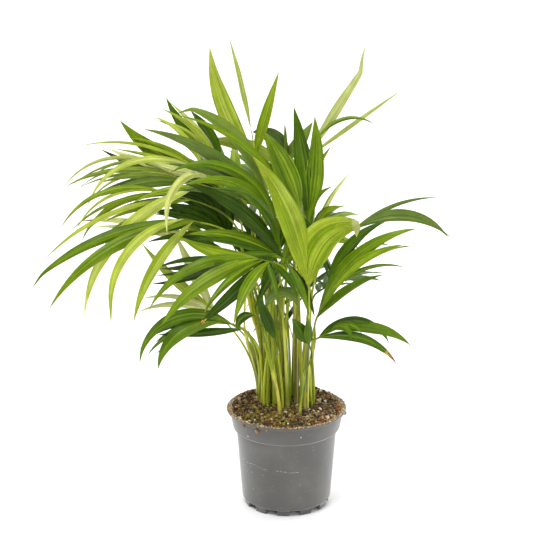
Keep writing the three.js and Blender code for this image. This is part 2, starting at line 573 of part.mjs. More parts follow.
function peatSolid() {
  const p = POT;
  const fit = p.wall + CLEAR;
  let peat = turned([
    [0, p.underside + p.floor + CLEAR], [p.bodyFoot - fit, p.underside + p.floor + CLEAR],
    [p.bodyTop - fit, p.bodyTopZ + 0.9], [p.collarFoot - fit, p.collarFootZ + 0.9],
    [p.collarTop - fit - 0.1, PEAT.edgeZ], [PEAT.shoulder, PEAT.shoulderZ],
    [PEAT.shoulder / 2, PEAT.middleZ - 0.3], [0, PEAT.middleZ],
  ], p.round);
  for (const cane of CANES) {
    peat = peat.subtract(peg(cane.r + PEAT.pocketPlay, 20, cane.x, cane.y, PEAT.pocketZ, 8));
  }
  return peat;
}

function leafColour(tint) {
  return LEAF_DARK.clone().lerp(LEAF_PALE, tint);
}

function addPart(group, name, solid, color, roughness) {
  const material = new THREE.MeshStandardMaterial({ color, roughness, metalness: 0 });
  const mesh = new THREE.Mesh(toGeometry(solid), material);
  mesh.name = name;
  group.add(mesh);
}

function buildPlant() {
  const group = new THREE.Group();
  addPart(group, 'pot', potSolid(), 0x6f7072, 0.5);
  addPart(group, 'peat', peatSolid(), 0x3a2b1e, 0.95);
  const canes = CANES.map(caneSolid);
  canes.forEach((solid, i) => addPart(group, `cane_${i + 1}`, solid, 0x8f9a3c, 0.5));
  for (const { frond, pieces } of growFronds(canes)) {
    addPart(group, `frond_${frond.name}`, Manifold.union(pieces), leafColour(frond.tint), 0.45);
  }
  return group;
}

export default buildPlant();
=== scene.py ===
"""Looks of a young areca palm in its nursery pot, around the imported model.

Sizes of the plant are in millimetres and turn into metres where a mesh is made. Z is up and the front is
toward -Y. Where nothing else is said, angles in tables are in degrees.
"""

import math

import bmesh
import bpy
import numpy as np
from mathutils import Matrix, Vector
from mathutils.kdtree import KDTree


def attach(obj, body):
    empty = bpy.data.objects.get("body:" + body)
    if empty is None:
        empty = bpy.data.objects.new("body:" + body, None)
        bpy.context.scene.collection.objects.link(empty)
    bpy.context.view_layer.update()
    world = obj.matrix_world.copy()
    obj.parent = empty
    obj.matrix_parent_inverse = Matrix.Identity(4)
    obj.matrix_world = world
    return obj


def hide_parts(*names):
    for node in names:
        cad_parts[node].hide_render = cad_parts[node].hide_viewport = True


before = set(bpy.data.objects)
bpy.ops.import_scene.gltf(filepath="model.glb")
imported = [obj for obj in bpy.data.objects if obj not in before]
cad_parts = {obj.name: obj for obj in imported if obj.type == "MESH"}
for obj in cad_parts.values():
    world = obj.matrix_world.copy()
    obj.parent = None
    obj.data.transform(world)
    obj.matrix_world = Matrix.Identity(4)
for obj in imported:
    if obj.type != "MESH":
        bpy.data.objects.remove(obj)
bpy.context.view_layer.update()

MM = 0.001
# How near a packed corner has to be to the place where a rule puts it
TOUCH = 0.06

# Camera of the photograph: 553 pixels wide, 2143 pixels to the focal length
IMAGE_SIDE = 553
FOCAL_PIXELS = 2143
CAMERA_PLACE = (-0.010, -2.000, 0.900)
CAMERA_DOWN = 18.3

POT = dict(
    rim=60, rim_top=101, rim_thick=1.6, collar_top=56.6, collar_foot=53.6, collar_foot_z=81.5,
    body_top=50, body_top_z=79, body_foot=44.6, chamfer=2.4, wall=1.6, underside=5.2, floor=2.4,
    teeth=11, tooth_width=12, tooth_radial=3.8, tooth_radius=40.1, tooth_phase=-5,
    pad_radius=15, drains=5, drain_radius=4, drain_circle=27,
)
PEAT = dict(
    edge_z=100.6, shoulder=47, shoulder_z=103, middle_z=103.8, pocket_z=93, foot=42.1, waist=47.7,
)

# Canes: x, y of the foot, lean in x and y over the height, height, radius of the foot
CLEAR = 0.3
CANE_FOOT_Z = PEAT["pocket_z"] + CLEAR
CANE_TAPER = 0.84
CANES = [
    (-22, 32, -14, 4, 67, 1.9), (-15, 12, -17, 0, 98, 3.2), (-8, 21, -9, 7, 112, 3.4),
    (1, -4, -3, -8, 92, 2.7), (7, 24, 2, 10, 104, 2.9), (10, 4, 1, -2, 112, 2.9),
    (19, -9, 2, -9, 90, 3.3), (22, 14, 5, -2, 72, 2.5), (-24, 21, -14, -2, 66, 2.6),
    (-4, 39, -3, 16, 96, 3.1), (16, 37, 7, 12, 90, 3.1), (-9, 0, -12, -8, 94, 3),
    (-6, -18, -7, -5, 52, 2.7), (13, -20, 4, -5, 48, 1.8),
]
# Radius of a packed stalk at its foot and at its hub
STALK = dict(foot=0.95, hub=1.1)

# Steps along the lines that the source grows
MIDRIB_STEPS = 12
STALK_STEPS = 16
BLADE_STEPS = 14
CANE_STEPS = 10
# How the fall of a blade gathers toward its tip
BLADE_POWER = 1.25
# Share of a blade's length where a hooked tip starts to fold, and where a kink stands out most
HOOK_AT = 0.86
KINK_AT = 0.78

USUAL = dict(roll=0, run=30, sag=15, open=(50, 18), droop=50, lift=18, spread=12, free=1, tint=0.4)


def frond(name, cane, hub, **sizes):
    """One frond: its cane, where its leaflets begin, and its sizes as in the source."""
    return {**USUAL, "name": name, "cane": cane, "hub": hub, **sizes}


def single(name, cane, hub, **sizes):
    """A frond whose blades follow their row exactly, with no scatter."""
    return frond(name, cane, hub, **{**dict(sag=0, lift=0, spread=0, free=0), **sizes})


# Rows of leaves and finer leaves: share along the midrib, heading, rise, length, width, fall, and the tint
# from 0 dark green to 1 pale yellow. The finer ones are slim leaflets that only the scene has.
FRONDS = [
    single("wide_front", 6, (21, -52, 243), az=170, el=88, roll=82, run=8, tint=0.6,
           leaves=[(0.6, 200, 82, 146, 26, 34, 0.54), (0.6, -12, 96, 98, 34, 111, 0.54)]),
    single("fork_right", 5, (21, -15, 300), az=165, el=92, roll=90, run=4, pairs=1, open=(9, 9),
           blade=(110, 21), droop=2, blade2=(102, 18), droop2=-18, tint=0.3, tints=(0.24, 0.42)),
    single("fork_top", 2, (-32, 10, 350), az=168, el=82.5, roll=90, run=4, tint=0.66,
           leaves=[(1, 176, 56, 121, 23, -31, 0.66), (1, 0, 76, 92, 11, 4, 0.46)]),
    single("spear_top", 2, (-34, 0, 385), az=180, el=80.5, roll=60, run=4, pairs=0.5, open=(0, 0),
           blade=(92, 6), droop=8, tint=0.78, tints=(0.72,)),
    single("pale_right", 4, (17, 45, 340), az=-8, el=66, roll=75, run=12, tint=0.82,
           leaves=[(1, -6, 64, 125, 10, 1, 0.9), (0.7, -6, 40, 119, 5, 6, 0.8)]),
    single("hook_right", 4, (27, 30, 366), az=6, el=60, run=4, roll=70, tint=0.6,
           leaves=[(1, 6, 56, 68, 4.5, 99, 0.34)]),
    single("small_right", 5, (22, -6, 278), az=0, el=60, roll=60, run=10, tint=0.45,
           leaves=[(0.9, -6, 82, 42, 9, 83, 0.45), (0.5, 4, 108, 60, 9, 91, 0.4),
           (1, 10, 68, 69, 5, 21, 0.8)], finer=[(0.0, 190, -30, 46, 9, 50, 0.45)]),
    single("broad_middle", 5, (13, -28, 311), az=150, el=80, roll=80, run=6, tint=0.55,
           leaves=[(0.5, 196, 72, 91, 26, 14, 0.4), (0.5, 188, 60, 158, 8, 45, 0.42)],
           finer=[(0.0, 200, -50, 84, 10, 24, 0.24), (0.0, -20, -56, 70, 9, 20, 0.16),
           (0.0, 215, -60, 70, 9, 20, 0.4)]),
    single("long_dark", 3, (-14, -20, 318), az=165, el=60, roll=68, run=10, tint=0.28,
           leaves=[(0.2, 186, 48, 147, 14, 36, 0.3), (0.8, 176, 77, 134, 15, 71, 0.42)],
           finer=[(0.5, 184, 34, 110, 9, 30, 0.25), (0.4, 190, 20, 92, 9, 24, 0.2),
           (0.2, -30, -50, 74, 10, 30, 0.2), (0.2, 10, -20, 60, 9, 60, 0.34)]),
    single("hand_middle", 3, (-1, -38, 266), az=190, el=60, roll=66, run=20, tint=0.42,
           leaves=[(0.1, 196, 40, 105, 14, 46, 0.36), (0.6, 188, 86, 138, 15, 113, 0.44),
           (0.9, 176, 88, 154, 13, 122, 0.34), (0.2, 205, 60, 137, 18, 44, 0.1),
           (0.4, 215, 81, 119, 10, 79, 0.24)], finer=[(0.3, 200, 30, 96, 9, 30, 0.22),
           (0.5, 210, 10, 84, 9, 24, 0.3), (0.0, -52, -34, 60, 9, 40, 0.36),
           (0.0, -18, -48, 62, 8, 30, 0.08), (0.1, -150, -40, 56, 8, 30, 0.12),
           (0.1, 20, 30, 40, 7, 90, 0.42)]),
    single("hand_front", 11, (-14, -58, 272), az=200, el=20, roll=62, run=16, tint=0.5,
           leaves=[(1, 192, 8, 122, 11, 70, 0.36), (1, 200, -8, 117, 15, 51, 0.42),
           (0.6, 215, -8, 83, 9, 52, 0.38), (0.3, 225, -24, 102, 14, 2, 0.1),
           (0.2, 240, -12, 83, 13, 49, 0.44), (0.9, 184, 4, 80, 14, -31, 0.46)],
           finer=[(0.1, -20, -30, 46, 7, 50, 0.2), (0.4, -60, -44, 44, 7, 30, 0.3)]),
    single("outer_left", 1, (-78, -30, 302), az=186, el=14, roll=66, run=22, tint=0.42,
           leaves=[(0.8, 188, -3, 171, 11, 42, 0.34), (0.5, 196, -1, 172, 13, 61, 0.38),
           (0.55, 207, -36, 117, 12, 44, 0.6), (1, 214, -1, 143, 10, 111, 0.68)],
           finer=[(0.2, 184, -6, 58, 5, 16, 0.1)]),
    single("strap_left", 1, (-70, -26, 336), az=184, el=8, roll=68, run=16, tint=0.72,
           leaves=[(1, 184, -19, 183, 14, 69, 0.74), (0.5, 178, 4, 76, 6, 40, 0.5)]),
    single("upper_left", 2, (-63, 18, 344), az=140, el=60, roll=80, run=8, tint=0.3,
           leaves=[(1, 168, 32, 82, 14, -39, 0.24), (0.6, 150, 67, 60, 15, 26, 0.2),
           (1, 172, 56, 75, 7, 14, 0.8), (0.3, 182, 63, 85, 6, 41, 0.65)],
           finer=[(0.8, 176, 46, 76, 5, 28, 0.5), (0.5, 180, 58, 78, 4.6, 50, 0.7)]),
    single("crown_left", 2, (-73, 6, 337), az=172, el=38, roll=70, run=10, tint=0.55,
           leaves=[(0.9, 182, 73, 79, 6, 55, 0.7), (0.7, 176, 18, 100, 18, -32, 0.45),
           (0.2, 188, 12, 104, 11, -14, 0.92), (0.1, 168, -2, 116, 11, -31, 0.2)],
           finer=[(0.5, 182, 22, 96, 5, 12, 0.6), (0.8, 178, 40, 84, 4.6, 34, 0.5),
           (1.0, 180, 34, 132, 3.6, 52, 0.66), (0.8, 183, 24, 140, 4, 66, 0.5)]),
    single("fan_left_high", 2, (-84, -4, 334), az=180, el=16, roll=66, run=24, tint=0.38,
           leaves=[(0.9, 184, 20, 117, 6, 55, 0.5), (0.7, 190, 16, 84, 6.5, 36, 0.45),
           (0.3, 194, 8, 92, 12, 30, 0.36), (1, 176, 30, 126, 4.5, 96, 0.72)],
           finer=[(0.8, 182, 26, 108, 3.6, 72, 0.5), (0.5, 188, 12, 96, 4.2, 44, 0.34),
           (0.95, 180, 12, 100, 3.6, 42, 0.62), (0.6, 186, 22, 112, 3.4, 84, 0.7),
           (0.9, 178, 34, 92, 3.4, 78, 0.4)]),
    single("fan_left_low", 1, (-79, -16, 317), az=184, el=22, roll=66, run=34, sag=8, tint=0.5,
           leaves=[(1, 184, 16, 125, 6, 83, 0.5), (0.9, 192, 15, 113, 7, 79, 0.5),
           (0.7, 190, -4, 153, 5.5, 44, 0.66), (0.4, 180, -4, 89, 7, 24, 0.52)],
           finer=[(0.85, 186, 8, 118, 4.2, 62, 0.46), (0.95, 188, 20, 114, 3.6, 92, 0.6),
           (0.6, 184, 4, 104, 4, 50, 0.3), (0.5, 188, -10, 96, 4, 30, 0.44)]),
    single("ribbon_left", 1, (-72, -14, 341), az=186, el=40, roll=66, run=10, tint=0.78,
           leaves=[(1, 186, 35, 140, 7, 115, 0.72), (0.6, 232, 26, 96, 9, 146, 0.82)]),
    # The very dark tint of this frond is partly its own colour and partly painted shade in the middle of the
    # crown.
    single("shade_left", 11, (-54, 0, 274), az=150, el=55, roll=75, run=20, tint=0.05,
           leaves=[(1, 176, 68, 61, 21, 86, 0.08), (0.6, 190, 40, 68, 16, 28, 0.1),
           (0.1, 196, 40, 86, 9, 38, 0.2), (0.4, 160, 98, 65, 19, 83, 0.05)],
           finer=[(0.8, 182, 30, 78, 9, 40, 0.12), (0.5, 172, 60, 72, 10, 70, 0.15),
           (0.3, 196, 14, 84, 8, 30, 0.2), (0.0, 5, 10, 50, 12, 30, 0.1), (0.5, -20, -20, 60, 11, 30, 0.14),
           (0.0, -5, -35, 70, 12, 20, 0.1)]),
    single("curl_dark", 11, (-45, -30, 263), az=182, el=10, roll=60, run=16, tint=0.08,
           leaves=[(0.9, 186, -10, 64, 8, -9), (0.6, 192, -24, 82, 7, -25), (0.2, 176, 39, 69, 7, 39)],
           finer=[(0.8, 190, 10, 70, 6, 30, 0.15), (0.4, 184, -14, 78, 6, -10, 0.2),
           (0.0, -10, 30, 40, 9, 60, 0.12)]),
    single("pale_low_left", 0, (-65, 34, 183), az=160, el=40, roll=80, run=10, tint=0.85,
           leaves=[(0.9, 184, 40, 105, 11, -13, 0.68), (1, 176, 64, 91, 12, -1, 0.9),
           (0.6, 190, 28, 86, 7, 54, 0.95), (0.8, 188, 36, 83, 5.5, 53, 0.95)]),
    single("pale_low_far", 8, (-60, 30, 254), az=176, el=20, roll=70, run=14, tint=0.88,
           leaves=[(1, 184, 28, 137, 9, 34, 0.92), (0.8, 190, 24, 127, 9, 24, 0.88),
           (0.6, 178, 48, 75, 8, 61, 0.6)]),
    single("low_left", 8, (-43, -14, 188), az=184, el=38, roll=62, run=26, sag=30, tint=0.28,
           leaves=[(0.5, 194, 32, 120, 12, 119, 0.34), (0.9, 200, 10, 89, 16, 97, 0.3),
           (0.05, 186, -4, 84, 9, -5, 0.1), (0.9, 182, 0, 87, 7, 59, 0.35), (1, 176, -4, 70, 7, 39, 0.35)],
           finer=[(0.7, 190, 20, 100, 5, 82, 0.3), (0.4, 184, 12, 84, 5, 44, 0.25),
           (0.8, 196, 0, 78, 6, 50, 0.35)]),
    single("tall_right", 7, (30, 4, 194), az=10, el=68, roll=72, run=54, sag=14, tint=0.36,
           leaves=[(0.05, -6, 72, 143, 15, 64, 0.37), (0.5, 4, 80, 100, 13, 63, 0.24),
           (0.3, -14, 64, 110, 10, 55, 0.46), (0, -8, 56, 84, 9, 45, 0.32), (0.6, 8, 40, 82, 4.5, 59, 0.34),
           (0.8, 14, 72, 72, 6, 96, 0.3)], finer=[(0.4, 0, 60, 106, 5, 62, 0.4),
           (0.2, -4, 62, 116, 6, 56, 0.5)]),
    single("arch_right", 6, (63, 24, 277), az=6, el=32, roll=70, run=10, tint=0.3,
           leaves=[(0.5, 4, 32, 105, 12, 88, 0.3), (0.8, -4, 26, 102, 6, 73, 0.3),
           (0.2, 12, 36, 96, 4.5, 41, 0.3)]),
    single("low_right", 7, (31, -16, 180), az=-10, el=34, roll=58, run=24, sag=10, tint=0.2,
           leaves=[(0, 0, 50, 88, 11, 126, 0.2), (0.9, 0, 12, 79, 12, 58, 0.3),
           (0, -14, 20, 89, 11, 78, 0.3), (0.6, -30, 60, 34, 8, 165, 0.3),
           (0.6, -16, 54, 38, 8, 118, 0.3)]),
    single("sprig_front", 13, (23, -30, 175), az=170, el=70, roll=70, run=4, tint=0.1,
           leaves=[(1, 172, 60, 31, 15, 6, 0.22), (0.5, 60, 76, 33, 12, -44, 0.32)]),
    single("sprig_middle", 12, (-10, -34, 181), az=140, el=70, roll=75, run=4, tint=0.08,
           leaves=[(1, 178, 69, 50, 12, 2, 0.18)]),
    single("curl_middle", 12, (-22, -30, 211), az=60, el=70, roll=60, run=4, tint=0.12,
           leaves=[(1, -10, 86, 52, 12, 175, 0.3)]),
    single("drop_left", 12, (-29, -34, 207), az=200, el=60, roll=50, run=4, tint=0.1,
           leaves=[(1, 196, 20, 30, 10, 150, 0.2)]),
    # The dark tints of the finer leaflets of the fronds below are painted shade inside the crown.
    frond("back_high", 9, (-16, 62, 290), az=100, el=42, roll=20, pairs=3, open=(48, 18), blade=(104, 12),
          droop=58, finer=[(0.0, 186, -50, 96, 13, 25, 0.14), (0.0, -6, -60, 100, 12, 15, 0.1)]),
    frond("back_left", 9, (-32, 58, 262), az=128, el=28, roll=-15, run=34, pairs=3, open=(52, 18),
          blade=(115, 12), droop=54, tint=0.35, finer=[(0.0, -6, -20, 96, 13, 50, 0.1),
          (0.0, -12, -55, 90, 12, 20, 0.14), (1.0, -10, -30, 110, 15, 30, 0.12),
          (0.0, 20, 20, 70, 13, 30, 0.1)]),
    frond("back_right", 10, (20, 66, 252), az=76, el=32, roll=-20, pairs=3, open=(46, 16), blade=(90, 12),
          droop=60, tint=0.45, finer=[(0.0, 190, -30, 96, 13, 40, 0.12)]),
    frond("side_right", 10, (32, 52, 205), az=40, el=18, roll=25, run=26, pairs=3, blade=(64, 10),
          tint=0.3),
    single("fork_back", 10, (8, 58, 280), az=75, el=66, roll=40, run=6, pairs=1, open=(16, 16),
           blade=(78, 17), droop=36, tint=0.5, finer=[(1.0, 188, -40, 92, 12, 30, 0.1),
           (1.0, -8, -50, 84, 12, 20, 0.16), (0.0, 205, -20, 90, 13, 60, 0.12)]),
    frond("back_far_left", 9, (-48, 52, 300), az=150, el=36, roll=20, pairs=3, open=(45, 16),
          blade=(112, 12), droop=44, tint=0.42, finer=[(0.0, -10, -40, 80, 13, 30, 0.12),
          (0.5, -20, -50, 90, 13, 20, 0.1)]),
    frond("low_back_right", 10, (18, 70, 196), az=84, el=20, roll=10, run=26, pairs=3, open=(55, 20),
          blade=(78, 10), droop=56, tint=0.25, finer=[(0.0, 190, -10, 70, 10, 60, 0.14),
          (0.0, 185, -50, 80, 12, 10, 0.2)]),
    frond("low_back", 9, (-20, 66, 215), az=112, el=14, run=26, pairs=2, open=(50, 20), blade=(90, 10),
          droop=52, tint=0.7, finer=[(0.0, -10, 20, 70, 12, 60, 0.12), (0.0, 10, -60, 80, 12, 20, 0.16)]),
    single("fork_back_high", 4, (-2, 46, 336), az=110, el=80, roll=70, run=8, tint=0.15,
           leaves=[(1, 176, 84, 48, 19, 96, 0.1), (0.6, 100, 84, 42, 10, -20, 0.35),
           (0.8, 20, 48, 49, 14, -9, 0.45), (0.3, 186, 40, 91, 15, 51, 0.6)]),
]

# Small turns and shortenings that the source tries where a leaflet would touch a neighbour
NUDGES = [
    (0, 0, 1), (5, 4, 1), (-5, 4, 1), (5, -5, 1), (-5, -5, 1), (10, 7, 1), (-10, 7, 1), (11, -8, 1),
    (-11, -8, 1), (0, 12, 0.9), (0, -12, 0.9), (14, 0, 0.8), (-14, 0, 0.8), (6, 6, 0.65), (-6, -6, 0.65),
]


def seeded(seed):
    """Seeded random numbers, the same as the source draws."""
    state = (seed * 2654435761 + 12345) % 2**32

    def draw(reach):
        nonlocal state
        state = (state * 1664525 + 1013904223) % 2**32
        return (state / 2**32 * 2 - 1) * reach

    return draw


def unit(v):
    return v / np.linalg.norm(v, axis=-1, keepdims=True)


def turns(count):
    """Angles of count places round a circle."""
    return np.arange(count) * 2 * math.pi / count


def heading(az, el):
    a, e = math.radians(az), math.radians(el)
    return np.array([math.cos(e) * math.cos(a), math.cos(e) * math.sin(a), math.sin(e)])


def falling_line(start, az, el, length, bend, steps, power, hook=0):
    """Line that leaves start along (az, el) and falls by bend over its length, and by hook at its tip."""
    def slope(share):
        return max(el - bend * share**power - hook * min(1, max(0, share - HOOK_AT) / 0.05), -89)

    points, dirs = [np.array(start, float)], [heading(az, el)]
    for i in range(1, steps + 1):
        points.append(points[-1] + heading(az, slope((i - 0.5) / steps)) * length / steps)
        dirs.append(heading(az, slope(i / steps)))
    return np.array(points), np.array(dirs)


def frond_axes(az, el, roll):
    forward, up = heading(az, el), heading(az, el + 90)
    side = np.cross(forward, up)
    c, s = math.cos(math.radians(roll)), math.sin(math.radians(roll))
    return forward, side * c + up * s, up * c - side * s


def blade_outline(t, belly=0.42, foot=0.12, draw=0.95):
    """Half width of a blade along its length, as a share of its widest place."""
    rise = foot + (1 - foot) * np.sin(np.minimum(t / belly, 1) * math.pi / 2) ** 0.9
    k = np.clip((t - belly) / (1 - belly), 0, 1)
    fall = np.maximum(0, np.cos(k * math.pi / 2)) ** draw * (1 - 0.15 * k)
    return np.where(t < belly, rise, fall)


def leaflet_plan(row, index):
    """The midrib of a frond, and each leaflet as its foot, heading, length, width, fall and facing."""
    scatter = seeded(101 + index * 7)
    midrib = falling_line(row["hub"], row["az"], row["el"], row["run"], row["sag"], MIDRIB_STEPS, 1)
    if "leaves" in row:
        return midrib, [set_leaflet(row, midrib[0], *leaf) for leaf in row["leaves"]]
    count = math.ceil(row["pairs"])
    sides = (-1,) if row["pairs"] < 1 else (-1, 1)
    plan = [leaflet_row(row, midrib[0], 1.0 if count == 1 else place / (count - 1), side, count, scatter)
            for place in range(count) for side in sides]
    for leaf, tint in zip(plan, row.get("tints", ())):
        leaf["tint"] = tint
    return midrib, plan


def midrib_point(midrib, place):
    j = min(MIDRIB_STEPS - 1, int(place))
    return midrib[j] + (midrib[j + 1] - midrib[j]) * (place - j)


def set_leaflet(row, midrib, share, az, el, length, width, droop, tint=None):
    """A leaflet that the table sets by itself; the roll of the frond turns its upper face to the front."""
    turn = -row["roll"] if math.cos(math.radians(az)) > 0 else row["roll"]
    return dict(foot=midrib_point(midrib, share * MIDRIB_STEPS), az=az, el=el, length=length, width=width,
                droop=droop, twist=0, face=frond_axes(az, el, turn)[2], tint=tint)


def leaflet_row(row, midrib, share, side, count, scatter):
    """A leaflet of a pair, placed by the rule of its frond with seeded scatter."""
    place = share * MIDRIB_STEPS
    if side > 0 and share < 1:
        place = min(MIDRIB_STEPS, place + 0.9)
    forward, across, up = frond_axes(row["az"], row["el"] - row["sag"] * share, row["roll"])
    free = row["free"]
    first, last = row["open"]
    base = 0 if row["pairs"] < 1 else first + (last - first) * share**0.8
    opened = math.radians(base + scatter(4) * free)
    lift = math.radians(row["lift"] + scatter(6) * free + scatter(1) * row["spread"])
    outward = across * side * math.cos(lift) + up * math.sin(lift)
    along = unit(forward * math.cos(opened) + outward * math.sin(opened))
    length, width = row["blade2"] if side > 0 and "blade2" in row else row["blade"]
    droop = row["droop2"] if side > 0 and "droop2" in row else row["droop"]
    size = 1 - 0.22 * abs(share - 0.55) / 0.55 if count > 1 else 1
    return dict(
        foot=midrib_point(midrib, place),
        az=math.degrees(math.atan2(along[1], along[0])),
        el=math.degrees(math.asin(max(-1, min(1, along[2])))),
        length=length * size * (1 + scatter(0.07) * free),
        width=width * (1.15 if share >= 1 and count > 1 else 1) * (1 + scatter(0.1) * free),
        droop=droop * (1 + scatter(0.22) * free),
        twist=scatter(16) * free,
        face=up * math.cos(lift) - across * side * math.sin(lift),
        tint=None,
    )


def finer_leaflets(row, index, midrib):
    """Leaflets that the scene adds: those of the row, and some between the pairs of a rule-grown frond, with
    a darker tint that is painted shade inside the crown.
    """
    added = [set_leaflet(row, midrib[0], *leaf) for leaf in row.get("finer", ())]
    scatter = seeded(501 + index * 7)
    count = 0 if "leaves" in row else math.ceil(row["pairs"])
    for place in range(count - 1):
        for side in (-1, 1):
            leaf = leaflet_row(row, midrib[0], (place + 0.5) / (count - 1), side, count, scatter)
            # Their tint, 0.7 of the frond's, is painted shade inside the crown.
            added.append({**leaf, "length": leaf["length"] * 0.84, "width": leaf["width"] * 0.7,
                          "el": leaf["el"] + 10, "tint": row["tint"] * 0.7})
    return added


def curve_line(a, b, c, d, steps):
    """Points and directions along a cubic curve."""
    t = np.linspace(0, 1, steps + 1)[:, None]
    points = a * (1 - t) ** 3 + 3 * b * t * (1 - t) ** 2 + 3 * c * t * t * (1 - t) + d * t**3
    slope = (b - a) * (1 - t) ** 2 + 2 * (c - b) * t * (1 - t) + (d - c) * t * t
    return points, unit(slope)


def cane_line(cane, steps=CANE_STEPS):
    """A cane leans most in its upper half: shares of its lean and height at each handle of its curve."""
    x, y, dx, dy, h, _ = cane
    foot = np.array([x, y, CANE_FOOT_Z])
    handles = [foot + np.array([dx * lean, dy * lean, h * rise])
               for lean, rise in ((0, 0), (0.1, 0.33), (0.5, 0.66), (1, 1))]
    return curve_line(*handles, steps)


def stalk_feet(cane, rows):
    """Feet of the stalks on the top of one cane, spread in a ring in the order of their hubs."""
    points, dirs = cane_line(cane)
    top, out = points[-1], dirs[-1]
    wide = unit(np.array([1.0, 0, 0]) - out * out[0])
    other = np.cross(out, wide)
    ring = 0 if len(rows) == 1 else cane[5] * CANE_TAPER - STALK["foot"] - 0.05

    def angle(row):
        return math.atan2(row["hub"][1] - top[1], row["hub"][0] - top[0])

    order = sorted(rows, key=angle)
    step = 2 * math.pi / max(1, len(order))
    offsets = [angle(row) - i * step for i, row in enumerate(order)]
    start = math.atan2(sum(math.sin(a) for a in offsets), sum(math.cos(a) for a in offsets))
    feet = {}
    for i, row in enumerate(order):
        a = start + i * step
        spot = top + out * (CLEAR + 0.08) + wide * ring * math.cos(a) + other * ring * math.sin(a)
        feet[row["name"]] = (spot, out)
    return feet


def bows():
    """Pairs of sideways bows that the source tries for a stalk, low and high."""
    none = np.zeros(3)
    pairs = [(none, none)]
    for ring in range(1, 8):
        for a in turns(8):
            shift = ring * 5 * np.array([math.cos(a), math.sin(a), 0])
            pairs += [(shift, shift), (shift, none), (none, shift), (shift, -shift)]
    return pairs


def stalk_line(foot, out, midrib, low, high, steps=STALK_STEPS):
    """Line of a stalk from its foot, with its bows, and on along the midrib."""
    hub, forward = midrib[0][0], midrib[1][0]
    reach = np.linalg.norm(hub - foot)
    scale = min(1, reach / 90)
    points, dirs = curve_line(foot, foot + out * reach * 0.45 + low * scale,
                              hub - forward * reach * 0.4 + high * scale, hub, steps)
    dirs[0] = out
    return np.concatenate([points, midrib[0][1:]]), np.concatenate([dirs, midrib[1][1:]])


def probe(node):
    """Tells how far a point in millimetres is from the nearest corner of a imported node."""
    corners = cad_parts[node].data.vertices
    tree = KDTree(len(corners))
    for i, corner in enumerate(corners):
        tree.insert(corner.co, i)
    tree.balance()
    return lambda point: tree.find(Vector(point) * MM)[2] / MM


def ring_corner(points, dirs, t):
    """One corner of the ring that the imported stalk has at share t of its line."""
    seed = np.array([0, 1.0, 0]) if abs(dirs[0][0]) > 0.9 else np.array([1.0, 0, 0])
    steps = len(points) - 1
    j = int(t * steps)
    k = t * steps - j
    out = unit(dirs[j] + (dirs[j + 1] - dirs[j]) * k)
    radius = STALK["foot"] + (STALK["hub"] - STALK["foot"]) * t * steps / STALK_STEPS
    return points[j] + (points[j + 1] - points[j]) * k + unit(seed - out * (seed @ out)) * radius


def find_bow(foot, out, midrib, away):
    """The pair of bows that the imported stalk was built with, or none."""
    for low, high in bows():
        line = stalk_line(foot, out, midrib, low, high)
        if all(away(ring_corner(*line, t)) < TOUCH for t in (0.2, 0.3, 0.4)):
            return low, high
    return bows()[0]


def find_nudge(leaf, away):
    """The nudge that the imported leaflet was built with, or None where the source left it out."""
    for nudge in NUDGES:
        if away(blade_line(leaf, nudge, BLADE_STEPS)[0][-1]) < TOUCH:
            return nudge
    return None


def blade_line(leaf, nudge, steps, hook=0):
    turn, rise, shorten = nudge
    return falling_line(leaf["foot"], leaf["az"] + turn, leaf["el"] + rise, leaf["length"] * shorten,
                        leaf["droop"], steps, BLADE_POWER, hook)


